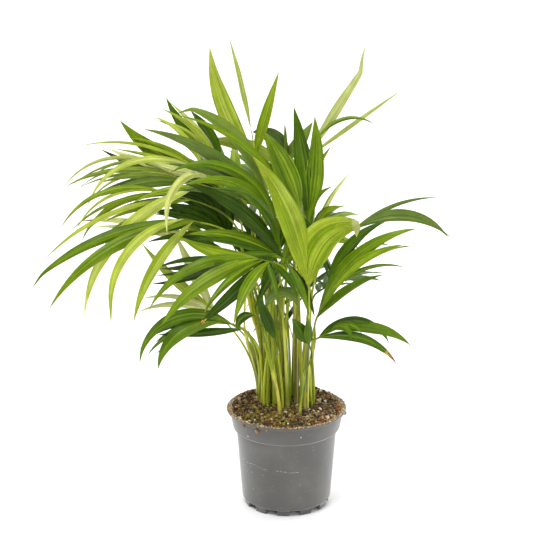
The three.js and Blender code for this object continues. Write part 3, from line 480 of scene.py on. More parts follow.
class Heap:
    """Points and faces, in millimetres, gathered for one joined mesh. Marks are material numbers."""

    def __init__(self):
        self.points, self.maps, self.total = [], [], 0
        self.faces, self.marks = {3: [], 4: []}, {3: [], 4: []}

    def add(self, points, blocks, uv=None):
        for faces, marks in blocks:
            faces = np.asarray(faces)
            kind = faces.shape[1]
            self.faces[kind].append(faces + self.total)
            self.marks[kind].append(np.broadcast_to(marks, len(faces)))
        self.points.append(points)
        self.maps.append(np.zeros((len(points), 2)) if uv is None else uv)
        self.total += len(points)

    def add_rings(self, rings, ends, marks=0, caps=(0, 0), uv=None):
        """Closed skin over rings of points, row by row, with a fan to an end point at each end."""
        rows, sides = rings.shape[:2]
        index = np.arange(rows * sides).reshape(rows, sides)
        beside = np.roll(index, -1, axis=1)
        tips = np.repeat(rows * sides + np.arange(2)[:, None], sides, axis=1)
        quads = np.stack([index[:-1], beside[:-1], beside[1:], index[1:]], -1).reshape(-1, 4)
        foot = np.stack([beside[0], index[0], tips[0]], 1)
        head = np.stack([index[-1], beside[-1], tips[1]], 1)
        self.add(np.concatenate([rings.reshape(-1, 3), ends]),
                 [(quads, np.ravel(marks)), (foot, caps[0]), (head, caps[1])], uv)

    def build(self, name, materials, sharp=50):
        kinds = [k for k in (3, 4) if self.faces[k]]
        blocks = [np.concatenate(self.faces[k]) for k in kinds]
        corners = np.concatenate([b.ravel() for b in blocks]).astype(np.int32)
        sizes = np.concatenate([np.full(len(b), b.shape[1]) for b in blocks])
        marks = np.concatenate([m for k in kinds for m in self.marks[k]]).astype(np.int32)
        mesh = bpy.data.meshes.new(name)
        mesh.vertices.add(self.total)
        mesh.vertices.foreach_set("co", (np.concatenate(self.points) * MM).astype(np.float32).ravel())
        mesh.loops.add(len(corners))
        mesh.loops.foreach_set("vertex_index", corners)
        mesh.polygons.add(len(sizes))
        mesh.polygons.foreach_set("loop_start", (np.cumsum(sizes) - sizes).astype(np.int32))
        mesh.polygons.foreach_set("material_index", marks)
        mesh.polygons.foreach_set("use_smooth", np.ones(len(sizes), bool))
        layer = mesh.uv_layers.new(name="grain")
        layer.data.foreach_set("uv", np.concatenate(self.maps)[corners].astype(np.float32).ravel())
        mesh.update(calc_edges=True)
        mesh.set_sharp_from_angle(angle=math.radians(sharp))
        for material in materials:
            mesh.materials.append(material)
        return linked(name, mesh)


def linked(name, data):
    """A new object of the scene around its data."""
    thing = bpy.data.objects.new(name, data)
    bpy.context.scene.collection.objects.link(thing)
    return thing


def place(piece, slot, *nodes):
    """Hangs a piece on the one body and hides the nodes that it stands for. Its finish, the slot, is not
    used.
    """
    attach(piece, "root")
    if nodes:
        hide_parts(*nodes)


# Leaf tones run from dark green to pale yellow. Each one has an upper and a lower face.
TONE_STOPS = [
    (0.00, (31, 45, 1)), (0.22, (54, 83, 2)), (0.42, (92, 119, 7)), (0.60, (133, 151, 24)),
    (0.78, (170, 181, 76)), (1.00, (206, 209, 146)),
]
TONES = 12
PALE_UNDER, BROWN, TAN = 2 * TONES - 2, 2 * TONES, 2 * TONES + 1


def linear(rgb):
    """Linear colour from 0 to 255 screen values."""
    c = np.asarray(rgb, float) / 255
    return np.where(c <= 0.04045, c / 12.92, ((c + 0.055) / 1.055) ** 2.4)


def rgba(colour):
    return (*[float(c) for c in colour], 1.0)


def tone_colour(share):
    stops, shades = zip(*TONE_STOPS)
    return np.array([np.interp(share, stops, channel) for channel in linear(shades).T])


def new_material(name, **values):
    """A material, its node tree and its shader, with plain values for the shader's inputs."""
    material = bpy.data.materials.new(name)
    material.use_nodes = True
    shader = material.node_tree.nodes["Principled BSDF"]
    for socket, value in values.items():
        shader.inputs[socket.replace("_", " ")].default_value = value
    return material, material.node_tree, shader


def node_of(tree, kind, **inputs):
    """Adds a shader node and sets its inputs: a number, a colour or another node's output."""
    node = tree.nodes.new(kind)
    for name, value in inputs.items():
        fill(tree, node.inputs[name], value)
    return node


def fill(tree, socket, value):
    if isinstance(value, bpy.types.NodeSocket):
        tree.links.new(value, socket)
    else:
        socket.default_value = value


def object_place(tree):
    return tree.nodes.new("ShaderNodeTexCoord").outputs["Object"]


def noise(tree, scale, detail, stretch=None):
    """Noise over the object's own space, in cycles per metre, stretched by a scale for each axis if given."""
    spot = object_place(tree)
    if stretch:
        spot = node_of(tree, "ShaderNodeMapping", Vector=spot, Scale=stretch).outputs[0]
    return node_of(tree, "ShaderNodeTexNoise", Vector=spot, Scale=scale, Detail=detail).outputs[0]


def graded(tree, factor, stops):
    """Colour ramp over factor. stops holds pairs of position and linear colour."""
    node = tree.nodes.new("ShaderNodeValToRGB")
    tree.links.new(factor, node.inputs[0])
    ramp = node.color_ramp
    while len(ramp.elements) < len(stops):
        ramp.elements.new(0.5)
    for element, (position, colour) in zip(ramp.elements, stops):
        element.position = position
        element.color = rgba(colour)
    return node.outputs[0]


def covered(tree, factor, under, over):
    """The colour under, covered by one plain screen colour as far as factor says."""
    node = tree.nodes.new("ShaderNodeMix")
    node.data_type = "RGBA"
    tree.links.new(factor, node.inputs[0])
    tree.links.new(under, node.inputs[6])
    node.inputs[7].default_value = rgba(linear(over))
    return node.outputs[2]


def ranged(tree, value, limits, results):
    """Carries a value from between two limits to between two results."""
    node = node_of(tree, "ShaderNodeMapRange", Value=value)
    for socket, number in zip(list(node.inputs)[1:5], (*limits, *results)):
        socket.default_value = number
    return node.outputs[0]


def finish(tree, shader, colour, height, strength, depth):
    """Gives the shader its colour, and small bumps of a depth in metres."""
    tree.links.new(colour, shader.inputs["Base Color"])
    bump = node_of(tree, "ShaderNodeBump", Strength=strength, Distance=depth, Height=height)
    tree.links.new(bump.outputs[0], shader.inputs["Normal"])


def leaf_material(name, colour, rough, grain):
    """Leaf skin: one base colour with faint mottling, and fine veins that run along the blade."""
    material, tree, shader = new_material(name, Roughness=rough, Specular_IOR_Level=0.14)
    uv = tree.nodes.new("ShaderNodeUVMap")
    uv.uv_map = "grain"
    wave = node_of(tree, "ShaderNodeTexWave", Vector=uv.outputs[0], Scale=0.55, Distortion=0.6, Detail=1.0)
    wave.bands_direction = "X"
    veins = wave.outputs[1]
    total = tree.nodes.new("ShaderNodeMath")
    total.operation = "MULTIPLY_ADD"
    for socket, value in zip(total.inputs, (veins, grain, noise(tree, 70.0, 3.0))):
        fill(tree, socket, value)
    shades = [(0.30, colour * 0.78), (0.62, colour), (1.0, np.minimum(colour * 1.3, 1))]
    finish(tree, shader, graded(tree, total.outputs[0], shades), veins, 0.35, 0.00012)
    return material


def leaf_materials():
    """Upper faces of every tone, then lower faces, then dead brown and tan."""
    shades = [tone_colour(i / (TONES - 1)) for i in range(TONES)]
    upper = [leaf_material(f"leaf_top_{i}", c, 0.31, 0.35) for i, c in enumerate(shades)]
    grey = linear((132, 148, 84)) * 0.24
    lower = [leaf_material(f"leaf_under_{i}", c * 0.66 + grey, 0.5, 0.2) for i, c in enumerate(shades)]
    return upper + lower + [leaf_material("leaf_brown", linear((122, 74, 42)), 0.7, 0.3),
                            leaf_material("leaf_tan", linear((186, 150, 80)), 0.6, 0.3)]


# Half the thickness of a blade along its midrib, in millimetres
BLADE_THICK = 0.16
# A tip that folds down by more than this shows its pale lower face
FOLDED_OVER = 60


def blade_frame(leaf, nudge, looks, rows):
    """Line of a blade's midrib, and the ways across and up that are carried along it."""
    points, dirs = blade_line(leaf, nudge, rows, looks["hook"])
    face = unit(leaf["face"] - dirs[0] * (leaf["face"] @ dirs[0]))
    across = np.cross(face, dirs[0])
    level = heading(leaf["az"] + nudge[0] - 90, 0)
    wide = level * (across @ level) + np.cross(level, dirs) * (across @ np.cross(level, dirs[0]))
    twist = np.radians(leaf["twist"] * np.linspace(0, 1, rows + 1))[:, None]
    wide = wide * np.cos(twist) - np.cross(wide, dirs) * np.sin(twist)
    return points, wide, np.cross(dirs, wide)


def blade_relief(t, s, half, fold, width, length, looks):
    """Height of a blade over its midrib: its fold, the rib, pleats where it is wide, and a waving edge."""
    height = -np.abs(s) * half * np.sin(fold)
    height = height + 0.32 * np.exp(-((s * half / 0.55) ** 2)) * (1 - 0.6 * t)
    pleats = max(1, round(width / 7))
    height = height + looks["pleat"] * np.minimum(1, half / 5) * np.cos(2 * math.pi * pleats * np.abs(s))
    swing = np.sin(2 * math.pi * t * length / looks["wave_length"] + looks["phase"] + (s > 0) * 1.4)
    return height + looks["wave"] * np.abs(s) ** 3 * np.minimum(1, half / 4) * swing


def grow_blade(heap, leaf, nudge, looks):
    """A leaflet as a thin closed skin. Each ring runs over its upper face and back under its lower face."""
    length, width = leaf["length"] * nudge[2], leaf["width"]
    rows, columns = round(18 + length * 0.15), 2 * round(3 + width * 0.46)
    points, wide, up = blade_frame(leaf, nudge, looks, rows)
    t = np.linspace(0, 1, rows + 1)[:, None]
    s = np.linspace(-1, 1, columns + 1)[None, :]
    half = width / 2 * blade_outline(t)
    fold = np.radians(looks["fold"]) * (1 + 1.8 * np.exp(-t / 0.07))
    height = blade_relief(t, s, half, fold, width, length, looks)
    corner = looks["kink"] * np.minimum(t / KINK_AT, (1 - t) / (1 - KINK_AT)) ** 1.6
    aside = s * half * np.cos(fold) + looks["sway"] * np.sin(math.pi * t) * length + corner
    skin = points[:, None] + wide[:, None] * aside[..., None] + up[:, None] * height[..., None]
    thick = BLADE_THICK * (1 - s**2)[..., None] * up[:, None]

    def rings(over, under):
        return np.concatenate([over[:-1, ::-1], under[:-1, 1:-1]], axis=1)

    grid = np.stack(np.broadcast_arrays(s * half, t * length), -1)
    uv = np.concatenate([rings(grid, grid).reshape(-1, 2), [[0, 0], [0, length]]])
    upper = blade_marks(t, s, looks)
    under = np.where(upper < TONES, upper + TONES, upper)
    if looks["over"]:
        upper, under = under, upper
    marks = np.concatenate([upper[:, ::-1], under], axis=1)
    heap.add_rings(rings(skin + thick, skin - thick), [points[0], points[-1]], marks[:-1],
                   (marks[0], marks[-1]), uv)


def blade_marks(t, s, looks):
    """Tone of every face: paler at the foot and along the midrib and some veins, dead at some tips."""
    along, mid = (t[1:] + t[:-1]) / 2, (s[:, 1:] + s[:, :-1]) / 2
    columns = mid.size
    draw = looks["draw"]
    tone = looks["tint"] * (TONES - 1) + 1.5 * np.exp(-along / 0.09) + 0 * mid
    tone = tone + looks["rib"] * (np.abs(mid) < 1.6 / columns) * (along < 0.82)
    stripes = np.array([draw(1) for _ in range(columns)])
    stripes = np.convolve(np.pad(stripes, 1, mode="edge"), [0.17, 0.66, 0.17], "valid")
    tone = tone + looks["stripe"] * stripes * np.sin(math.pi * np.minimum(1, along * 1.2)) ** 0.5
    tone = tone + looks["end"] * np.clip((along - 0.6) / 0.4, 0, 1)
    marks = np.clip(np.round(tone), 0, TONES - 1).astype(int)
    if looks["hook"] > FOLDED_OVER:
        marks = np.where(along > HOOK_AT, PALE_UNDER, marks)
    if looks["dead"]:
        ragged = np.array([draw(0.3) for _ in range(columns)])
        edge = 1 - looks["dead"] * (1 + ragged)
        marks = np.where(along > edge - 0.35 * looks["dead"], TAN, marks)
        marks = np.where(along > edge, BROWN, marks)
    return marks


def carried(dirs):
    """Sideways vectors along a line, turned as little as possible."""
    wide = [np.array([1.0, 0.2, 0.1])]
    for d in dirs:
        wide.append(unit(wide[-1] - d * (wide[-1] @ d)))
    return np.array(wide[1:])


def run_along(points):
    """Length of a line up to each of its points."""
    return np.concatenate([[0], np.cumsum(np.linalg.norm(np.diff(points, axis=0), axis=1))])


def grow_tube(heap, points, dirs, radii, sides, mark):
    """Closed tube. radii has one row for each point, with one value or one for each side."""
    wide = carried(dirs)
    other = np.cross(dirs, wide)
    a = turns(sides)
    radii = np.broadcast_to(np.asarray(radii, float).reshape(len(points), -1), (len(points), sides))
    ring = wide[:, None] * np.cos(a)[:, None] + other[:, None] * np.sin(a)[:, None]
    run = run_along(points)
    uv = np.stack(np.broadcast_arrays(a * radii, run[:, None]), -1).reshape(-1, 2)
    marks = np.broadcast_to(mark, (len(points) - 1, sides))
    heap.add_rings(points[:, None] + ring * radii[..., None], [points[0], points[-1]], marks,
                   (marks[0, 0], marks[0, 0]), np.concatenate([uv, [[0, 0], [0, run[-1]]]]))


# Skin of each cane: 0 yellow-green, 1 green, 2 olive with brown sheaths
CANE_SKINS = [1, 0, 2, 0, 1, 2, 0, 1, 1, 2, 1, 1, 0, 0]
CANE_ROWS = 46
# How a cane closes over its top: distance past it, share of the height, and share of the radius
CANE_CLOSING = np.array([
    (0, 1.0, 1), (2.5, 1.02, 0.92), (5.0, 1.04, 0.74), (7.5, 1.06, 0.45), (9.5, 1.08, 0.12),
])


def grow_canes(heap):
    """Each cane in its leaf sheaths: ribbed, swollen at the foot, closed round the stalks at its top."""
    for index, (cane, skin) in enumerate(zip(CANES, CANE_SKINS)):
        draw = seeded(400 + index * 5)
        past, heights, narrowing = CANE_CLOSING.T
        points, dirs = cane_line(cane, CANE_ROWS)
        points = np.concatenate([points, points[-1] + dirs[-1] * past[1:, None]])
        dirs = np.concatenate([dirs, np.repeat(dirs[-1:], 4, axis=0)])
        t = np.concatenate([np.linspace(0, 1, CANE_ROWS + 1), heights[1:]])[:, None]
        rise = points[:, 2:3] - PEAT["shoulder_z"]
        radius = cane[5] * (1 - (1 - CANE_TAPER) * np.minimum(t, 1))
        radius = radius * (1 + 0.06 * np.exp(-np.maximum(rise, 0) / 9))
        closing = np.interp(t, heights, narrowing)
        core = radius * cane_ribs(t, 22, draw) * closing * 0.8
        grow_tube(heap, points, dirs, core, 22, skin)
        grow_sheaths(heap, points, dirs, radius * closing, (skin + 1) % 3, draw)


def cane_ribs(t, sides, draw):
    """Radius of a cane round each ring, as a share: ribs, and a step where each of three sheaths ends."""
    a = turns(sides)
    shape = 1 + 0.05 * np.cos(2 * a + draw(3)) + 0.022 * np.cos(7 * a + 2 * t + draw(3))
    shape = shape + 0.018 * np.cos(11 * a + draw(3))
    for layer in range(3):
        edge = 0.26 + 0.24 * layer + draw(0.05) + 0.07 * np.cos(a + draw(3))
        shape = shape + 0.075 / (1 + np.exp((t - edge) / 0.006)) - 0.03
    return shape


def grow_sheaths(heap, points, dirs, radius, skin, draw):
    """Four leaf sheaths that wrap a cane side by side, each a slender ribbed strand of its own shade."""
    wide = carried(dirs)
    other = np.cross(dirs, wide)
    t = np.linspace(0, 1, len(points))[:, None]
    start = draw(math.pi)
    for strand in range(4):
        angle = start + strand * math.pi / 2 + draw(0.3) + t * draw(0.9)
        line = points + (wide * np.cos(angle) + other * np.sin(angle)) * radius * (0.6 + draw(0.05))
        width = radius * (0.37 + draw(0.05)) * (1 + 0.04 * np.cos(5 * turns(10)))
        grow_tube(heap, line, dirs, width, 10, (skin + strand) % 3)


STALK_SHADES = [(64, 84, 12), (98, 118, 20), (138, 152, 34), (172, 178, 52), (198, 196, 82)]
STALK_TOP = len(STALK_SHADES) - 1
# Radius of a stalk and midrib: share of the run, and radius
STALK_RADII = ((0, 0.08, 0.3, 0.62, 0.97, 1.0), (1.45, 1.35, 1.05, 1.05, 0.62, 0.25))
# Steps of a stalk up to its hub, and how much of the source's bow it keeps
FINE_STEPS = 40
BOW_KEPT = 0.4


def stalk_marks(tone, sides):
    """Shades of a stalk's faces from one tone for each ring."""
    tone = np.clip(np.round(np.reshape(tone, (-1, 1))[1:]), 0, STALK_TOP)
    return np.repeat(tone.astype(int), sides, axis=1)


def grow_stalk(heap, line, tint, draw):
    """Stalk and midrib: a sheath at the foot, then slender with a groove along its upper side."""
    points, dirs = line
    tail = points[0] - dirs[0] * np.array([7.0, 3.5])[:, None]
    points = np.concatenate([tail, points])
    dirs = np.concatenate([np.repeat(dirs[:1], 2, axis=0), dirs])
    run = run_along(points)
    share = (run / run[-1])[:, None]
    a = turns(10)
    groove = 1 - 0.2 * np.exp(-((a - math.pi) / 0.5) ** 2) + 0.05 * np.cos(3 * a)
    tone = tint * STALK_TOP + draw(0.7) + 1.4 - 2.2 * share
    grow_tube(heap, points, dirs, np.interp(share, *STALK_RADII) * groove, 10, stalk_marks(tone, 10))


# Slender stalks that rise from the peat beside the canes and join the stalk of a frond: the frond, the share
# of its stalk where they meet, the foot in x and y, and the tint
BASAL_STALKS = [
    ("low_left", 0.92, -27, 13, 0.35), ("low_left", 0.78, -21, 22, 0.2), ("low_left", 0.64, -17, 3, 0.45),
    ("pale_low_left", 0.8, -27, 27, 0.6), ("shade_left", 0.62, -19, -3, 0.25),
    ("curl_dark", 0.6, -13, -8, 0.3), ("hand_front", 0.5, -4, -10, 0.5), ("long_dark", 0.5, 3, 6, 0.35),
    ("broad_middle", 0.5, 14, -6, 0.55), ("wide_front", 0.62, 13, 12, 0.7),
    ("tall_right", 0.86, 27, 5, 0.4), ("low_right", 0.8, 26, -5, 0.3), ("fork_right", 0.42, 12, 20, 0.5),
    ("back_right", 0.5, 22, 28, 0.4), ("back_left", 0.5, -13, 34, 0.3), ("upper_left", 0.45, -3, 12, 0.5),
    ("outer_left", 0.5, -20, 24, 0.4), ("hand_middle", 0.5, -3, 2, 0.2), ("low_left", 1.22, -27, 16, 0.5),
    ("low_left", 1.1, -25, 10, 0.6), ("pale_low_left", 1.1, -29, 24, 0.7), ("curl_dark", 1.2, -20, 2, 0.6),
    ("shade_left", 0.8, -24, 12, 0.5), ("pale_low_far", 0.9, -26, 26, 0.7), ("low_left", 0.86, -25, 5, 0.5),
    ("low_left", 0.7, -24, 18, 0.6), ("curl_dark", 0.76, -22, -2, 0.5), ("crown_left", 0.4, -18, 8, 0.6),
    ("fan_left_high", 0.42, -11, 6, 0.5), ("strap_left", 0.5, -21, 10, 0.5),
    ("small_right", 0.6, 17, 2, 0.6), ("arch_right", 0.5, 25, 2, 0.5), ("fork_top", 0.3, 2, 16, 0.45),
    ("fan_left_low", 0.4, -15, 20, 0.6), ("fan_left_high", 0.6, -9, 16, 0.3),
    ("strap_left", 0.62, -12, 4, 0.65), ("ribbon_left", 0.5, -7, 12, 0.5), ("upper_left", 0.62, 0, 18, 0.4),
    ("outer_left", 0.66, -19, 0, 0.6), ("back_far_left", 0.6, -8, 30, 0.35),
    ("back_left", 0.66, -14, 28, 0.5), ("shade_left", 0.92, -16, 18, 0.5), ("hook_right", 0.4, 16, 18, 0.6),
    ("pale_right", 0.4, 9, 12, 0.6), ("side_right", 0.6, 28, 20, 0.4),
]


def grow_basal_stalks(heap, lines):
    """Petioles between the canes. Each stops inside the stalk that it joins."""
    steps, sides = 30, 9
    t = np.linspace(0, 1, steps + 1)[:, None]
    for index, (name, share, x, y, tint) in enumerate(BASAL_STALKS):
        draw = seeded(700 + index * 3)
        points, dirs = lines[name]
        meet = round(share * FINE_STEPS)
        foot = np.array([x, y, PEAT["edge_z"] - 4.0])
        reach = np.linalg.norm(points[meet] - foot)
        lean = unit(np.array([draw(0.08), draw(0.08), 1.0]))
        line, ways = curve_line(foot, foot + lean * reach * 0.42, points[meet] - dirs[meet] * reach * 0.34,
                                points[meet], steps)
        radius = np.interp(t, [0, 0.1, 0.6, 1.0], [1.5 + draw(0.25), 1.25, 1.1, 0.7])
        ribbed = 1 + 0.06 * np.cos(3 * turns(sides))
        tone = (tint + 0.25 - 0.3 * t) * STALK_TOP
        grow_tube(heap, line, ways, radius * ribbed, sides, stalk_marks(tone, sides))


LEAF_SLOTS = {"dark": "leaf_dark", "green": "leaf_green", "green_far": "leaf_green", "pale": "leaf_pale"}

# Fronds that turn the lower, greyer face of their blades to the front
TURNED_OVER = {"arch_right", "fork_back_high", "curl_middle", "fan_left_high", "spear_top", "pale_right",
               "long_dark"}

# What sets single blades apart, by frond and place in it: dead, the share of the length that is brown; hook,
# how far the tip folds down; kink, how far a corner near the tip stands out in millimetres; slim, the share
# of the source's width
BLADE_DETAILS = {
    ("hand_front", 2): dict(dead=0.05), ("hand_front", 3): dict(dead=0.07),
    ("hand_front", 4): dict(dead=0.06), ("low_right", 1): dict(dead=0.05),
    ("low_right", 2): dict(dead=0.12), ("low_right", 4): dict(dead=0.03), ("outer_left", 4): dict(dead=0.3),
    ("pale_low_far", 0): dict(dead=0.1), ("tall_right", 1): dict(dead=0.02),
    ("fan_left_low", 2): dict(dead=0.05), ("fan_left_high", 3): dict(dead=0.04),
    ("wide_front", 1): dict(hook=95), ("outer_left", 0): dict(hook=12), ("long_dark", 1): dict(hook=30),
    ("pale_right", 0): dict(kink=-7.0), ("fork_top", 0): dict(slim=0.8), ("fork_right", 0): dict(slim=0.92),
    ("broad_middle", 0): dict(slim=0.94),
}

# Fold in degrees and its play, relief of pleats and waves in millimetres, tones of the rib and the stripes
BROAD_WIDTH = 16
BROAD = dict(fold=9, play=5, pleat=0.34, wave=0.9, rib=0.5, stripe=1.9)
SLENDER = dict(fold=17, play=6, pleat=0.14, wave=0.55, rib=0.8, stripe=1.3)


def group_of(row):
    """Heap of a frond: by its tint, with the green fronds that grow by rule apart."""
    if row["tint"] < 0.32:
        return "dark"
    if row["tint"] >= 0.6:
        return "pale"
    return "green" if "leaves" in row else "green_far"


def leaf_tint(row, leaf, finer, draw):
    """A leaflet's own tint, or one near its frond's. Only a tinted leaflet of the source skips the draw."""
    spread = 0 if leaf["tint"] is not None and not finer else draw(0.06)
    return row["tint"] + spread if leaf["tint"] is None else leaf["tint"]


def blade_looks(row, leaf, place_in_row, finer, draw):
    """What the source doesn't say: tint, fold, pleats, waves and dead ends of one leaflet."""
    tint = leaf_tint(row, leaf, finer, draw) + draw(0.03)
    details = {**dict(dead=0.0, hook=0, kink=0, slim=1), **BLADE_DETAILS.get((row["name"], place_in_row), {})}
    if draw(1) > 0.7:
        details["dead"] = max(details["dead"], 0.018 + abs(draw(0.012)))
    fixed = BROAD if leaf["width"] > BROAD_WIDTH else SLENDER
    return dict(
        tint=min(1, max(0, tint)), over=row["name"] in TURNED_OVER, fold=fixed["fold"] + draw(fixed["play"]),
        wave_length=46 + draw(14), phase=draw(3.1), sway=draw(0.012), end=draw(0.8), draw=draw,
        **{key: fixed[key] for key in ("pleat", "wave", "rib", "stripe")}, **details,
    )


def grow_frond(row, index, foot_and_way, stalks, leaves):
    """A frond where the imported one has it. Gives the line of its stalk."""
    away = probe("frond_" + row["name"])
    midrib, plan = leaflet_plan(row, index)
    low, high = find_bow(*foot_and_way, midrib, away)
    draw = seeded(900 + index * 13)
    line = stalk_line(*foot_and_way, midrib, low * BOW_KEPT, high * BOW_KEPT, FINE_STEPS)
    grow_stalk(stalks, line, max(0.3, row["tint"]), draw)
    for place_in_row, leaf in enumerate(plan):
        nudge = find_nudge(leaf, away)
        looks = blade_looks(row, leaf, place_in_row, False, draw)
        if nudge:
            grow_blade(leaves, {**leaf, "width": leaf["width"] * looks["slim"]}, nudge, looks)
    for leaf in finer_leaflets(row, index, midrib):
        grow_blade(leaves, leaf, NUDGES[0], blade_looks(row, leaf, len(plan), True, draw))
    return line


def grow_plant():
    """All stalks and leaflets, in heaps by kind and finish."""
    leaves = {group: Heap() for group in LEAF_SLOTS}
    names = {group: [] for group in LEAF_SLOTS}
    stalks = Heap()
    feet = {}
    for i, cane in enumerate(CANES):
        feet.update(stalk_feet(cane, [row for row in FRONDS if row["cane"] == i]))
    lines = {}
    for index, row in enumerate(FRONDS):
        group, name = group_of(row), row["name"]
        names[group].append("frond_" + name)
        lines[name] = grow_frond(row, index, feet[name], stalks, leaves[group])
    grow_basal_stalks(stalks, lines)
    skins = leaf_materials()
    for group, heap in leaves.items():
        place(heap.build("leaves_" + group, skins), LEAF_SLOTS[group], *names[group])
    woods = [leaf_material(f"stalk_{i}", linear(c), 0.42, 0.3) for i, c in enumerate(STALK_SHADES)]
    place(stalks.build("stalks", woods), "leaf_green", *["frond_" + row["name"] for row in FRONDS])


def cane_material(name, shades, sheath, least):
    """Young stem: green shades under streaks of brown sheath, pale where it leaves the peat."""
    material, tree, shader = new_material(name, Roughness=0.36)
    streak = noise(tree, 1.0, 4.0, (520.0, 520.0, 9.0))
    patch = noise(tree, 1.0, 2.0, (70.0, 70.0, 12.0))
    green = graded(tree, patch, [(spot, linear(shade)) for spot, shade in zip((0.36, 0.5, 0.64), shades)])
    brown = graded(tree, streak, [(least, linear((0, 0, 0))), (least + 0.12, linear((190, 190, 190)))])
    height = node_of(tree, "ShaderNodeSeparateXYZ", Vector=object_place(tree)).outputs[2]
    low = ranged(tree, height, (0.101, 0.112), (0.55, 0.0))
    colour = covered(tree, low, covered(tree, brown, green, sheath), (188, 180, 128))
    finish(tree, shader, colour, streak, 0.5, 0.0003)
    return material


def cane_materials():
    return [
        cane_material("cane_yellow", [(134, 150, 36), (184, 186, 56), (222, 212, 96)], (124, 88, 36), 0.53),
        cane_material("cane_green", [(86, 112, 24), (128, 150, 38), (166, 178, 60)], (104, 88, 34), 0.55),
        cane_material("cane_olive", [(84, 88, 24), (122, 120, 36), (156, 146, 56)], (84, 50, 26), 0.45),
    ]


def earth_material(name, colour):
    """Crumbly matt material around one base colour."""
    material, tree, shader = new_material(name, Roughness=0.92)
    grain = noise(tree, 900.0, 4.0)
    shades = [(0.3, colour * 0.55), (0.55, colour), (0.8, np.minimum(colour * 1.5, 1))]
    finish(tree, shader, graded(tree, grain, shades), grain, 0.8, 0.0004)
    return material


EARTH = [
    (40, 31, 18), (94, 73, 38), (150, 118, 62), (188, 160, 108), (150, 92, 46), (134, 120, 34),
    (222, 210, 180),
]
BLACK, DARK, BARK, STRAW, RUST, MOSS, GRIT = range(7)


def crumb_shapes(detail, count, random):
    """Some lumpy closed crumbs of radius about 1, as points, and the triangles that they share."""
    sphere = bmesh.new()
    bmesh.ops.create_icosphere(sphere, subdivisions=detail, radius=1)
    points, faces = mesh_arrays(sphere)
    shapes = []
    for _ in range(count):
        bumps = random.normal(size=(6, 3))
        swell = np.cos(points @ bumps.T * 1.4).mean(axis=1, keepdims=True)
        shapes.append(points * (1 + 0.32 * swell + 0.10 * random.normal(size=(len(points), 1))))
    return shapes, faces


def mesh_arrays(shape):
    """Points and faces of a working mesh, which is freed."""
    points = np.array([v.co for v in shape.verts])
    faces = np.array([[v.index for v in f.verts] for f in shape.faces])
    shape.free()
    return points, faces


def random_turn(random):
    w, x, y, z = unit(random.normal(size=4))
    return np.array([
        [1 - 2 * (y * y + z * z), 2 * (x * y - z * w), 2 * (x * z + y * w)],
        [2 * (x * y + z * w), 1 - 2 * (x * x + z * z), 2 * (y * z - x * w)],
        [2 * (x * z - y * w), 2 * (y * z + x * w), 1 - 2 * (x * x + y * y)]])


# Edge of the filling at the pot's wall, and how far out crumbs lie on it
PEAT_REACH = 55.0
CRUMB_REACH = 54.6
# Two mounds on it: x, y, reach in x and y, and height
MOUNDS = [(31, 37, 13, 9, 3.2), (-37, 33, 12, 9, 2.4)]


def bell(x, y, middle_x, middle_y, reach_x, reach_y):
    """A smooth rise round a middle, 1 at most."""
    return np.exp(-(((x - middle_x) / reach_x) ** 2) - ((y - middle_y) / reach_y) ** 2)


def peat_height(x, y):
    """Height of the filling over a place, with its lumps."""
    r = np.hypot(x, y)
    middle, shoulder, edge = PEAT["middle_z"], PEAT["shoulder_z"] - 0.4, PEAT["edge_z"] - 0.6
    base = np.interp(r, [0, 23, PEAT["shoulder"], PEAT_REACH + 0.4], [middle, middle - 0.3, shoulder, edge])
    lumps = 0.9 * np.sin(x * 0.31 + 1.3) * np.sin(y * 0.27 + 0.4) + 0.6 * np.sin(x * 0.63 - y * 0.41)
    fine = 0.35 * np.sin(x * 1.9 + y * 0.7) * np.sin(y * 2.3 - x * 0.5)
    for *spot, height in MOUNDS:
        base = base + height * bell(x, y, *spot)
    return base + (lumps + fine) * np.clip((PEAT_REACH + 1 - r) / 10, 0, 1)


def peat_bed():
    """The filling: a closed body with a lumpy top, down inside the pot."""
    heap = Heap()
    a = turns(200)
    r = np.linspace(PEAT_REACH, 0.8, 52)[:, None]
    x, y = r * np.cos(a), r * np.sin(a)
    top = np.stack([x, y, peat_height(x, y)], -1)
    foot_z = POT["underside"] + POT["floor"] + CLEAR
    wall = turned([(PEAT["foot"], foot_z), (PEAT["waist"], POT["body_top_z"]),
                   (POT["collar_foot"] - 2.0, POT["collar_foot_z"] + 1)], a)
    heap.add_rings(np.concatenate([wall, top]), [[0, 0, foot_z], [0, 0, float(peat_height(0, 0))]])
    return heap.build("peat_bed", [earth_material("peat_base", linear(EARTH[DARK]) * 0.6)])


def turned(profile, a):
    """Rings of points where a profile of radius and height turns round the axis, at the angles a."""
    r, z = np.array(profile).T[..., None]
    return np.stack([r * np.cos(a), r * np.sin(a), z + 0 * a], -1)


def crumb_tone(x, y, random):
    """Peat is mixed dark and brown, mossy at the front left, gritty at the right and rusty at the rim."""
    rusty = max(0, (math.hypot(x, y) - 47) / 12) * 0.6
    mossy = 1.3 * bell(x, y, -16, -28, 26, 19)
    gritty = 0.1 * bell(x, y, 34, -14, 16, 18)
    weights = np.array([0.36, 0.24, 0.16, 0.11, 0.05 + rusty, mossy, 0.025 + gritty])
    return int(random.choice(7, p=weights / weights.sum()))


def random_place(reach, random):
    r, a = reach * math.sqrt(random.random()), random.random() * 2 * math.pi
    return r * math.cos(a), r * math.sin(a)


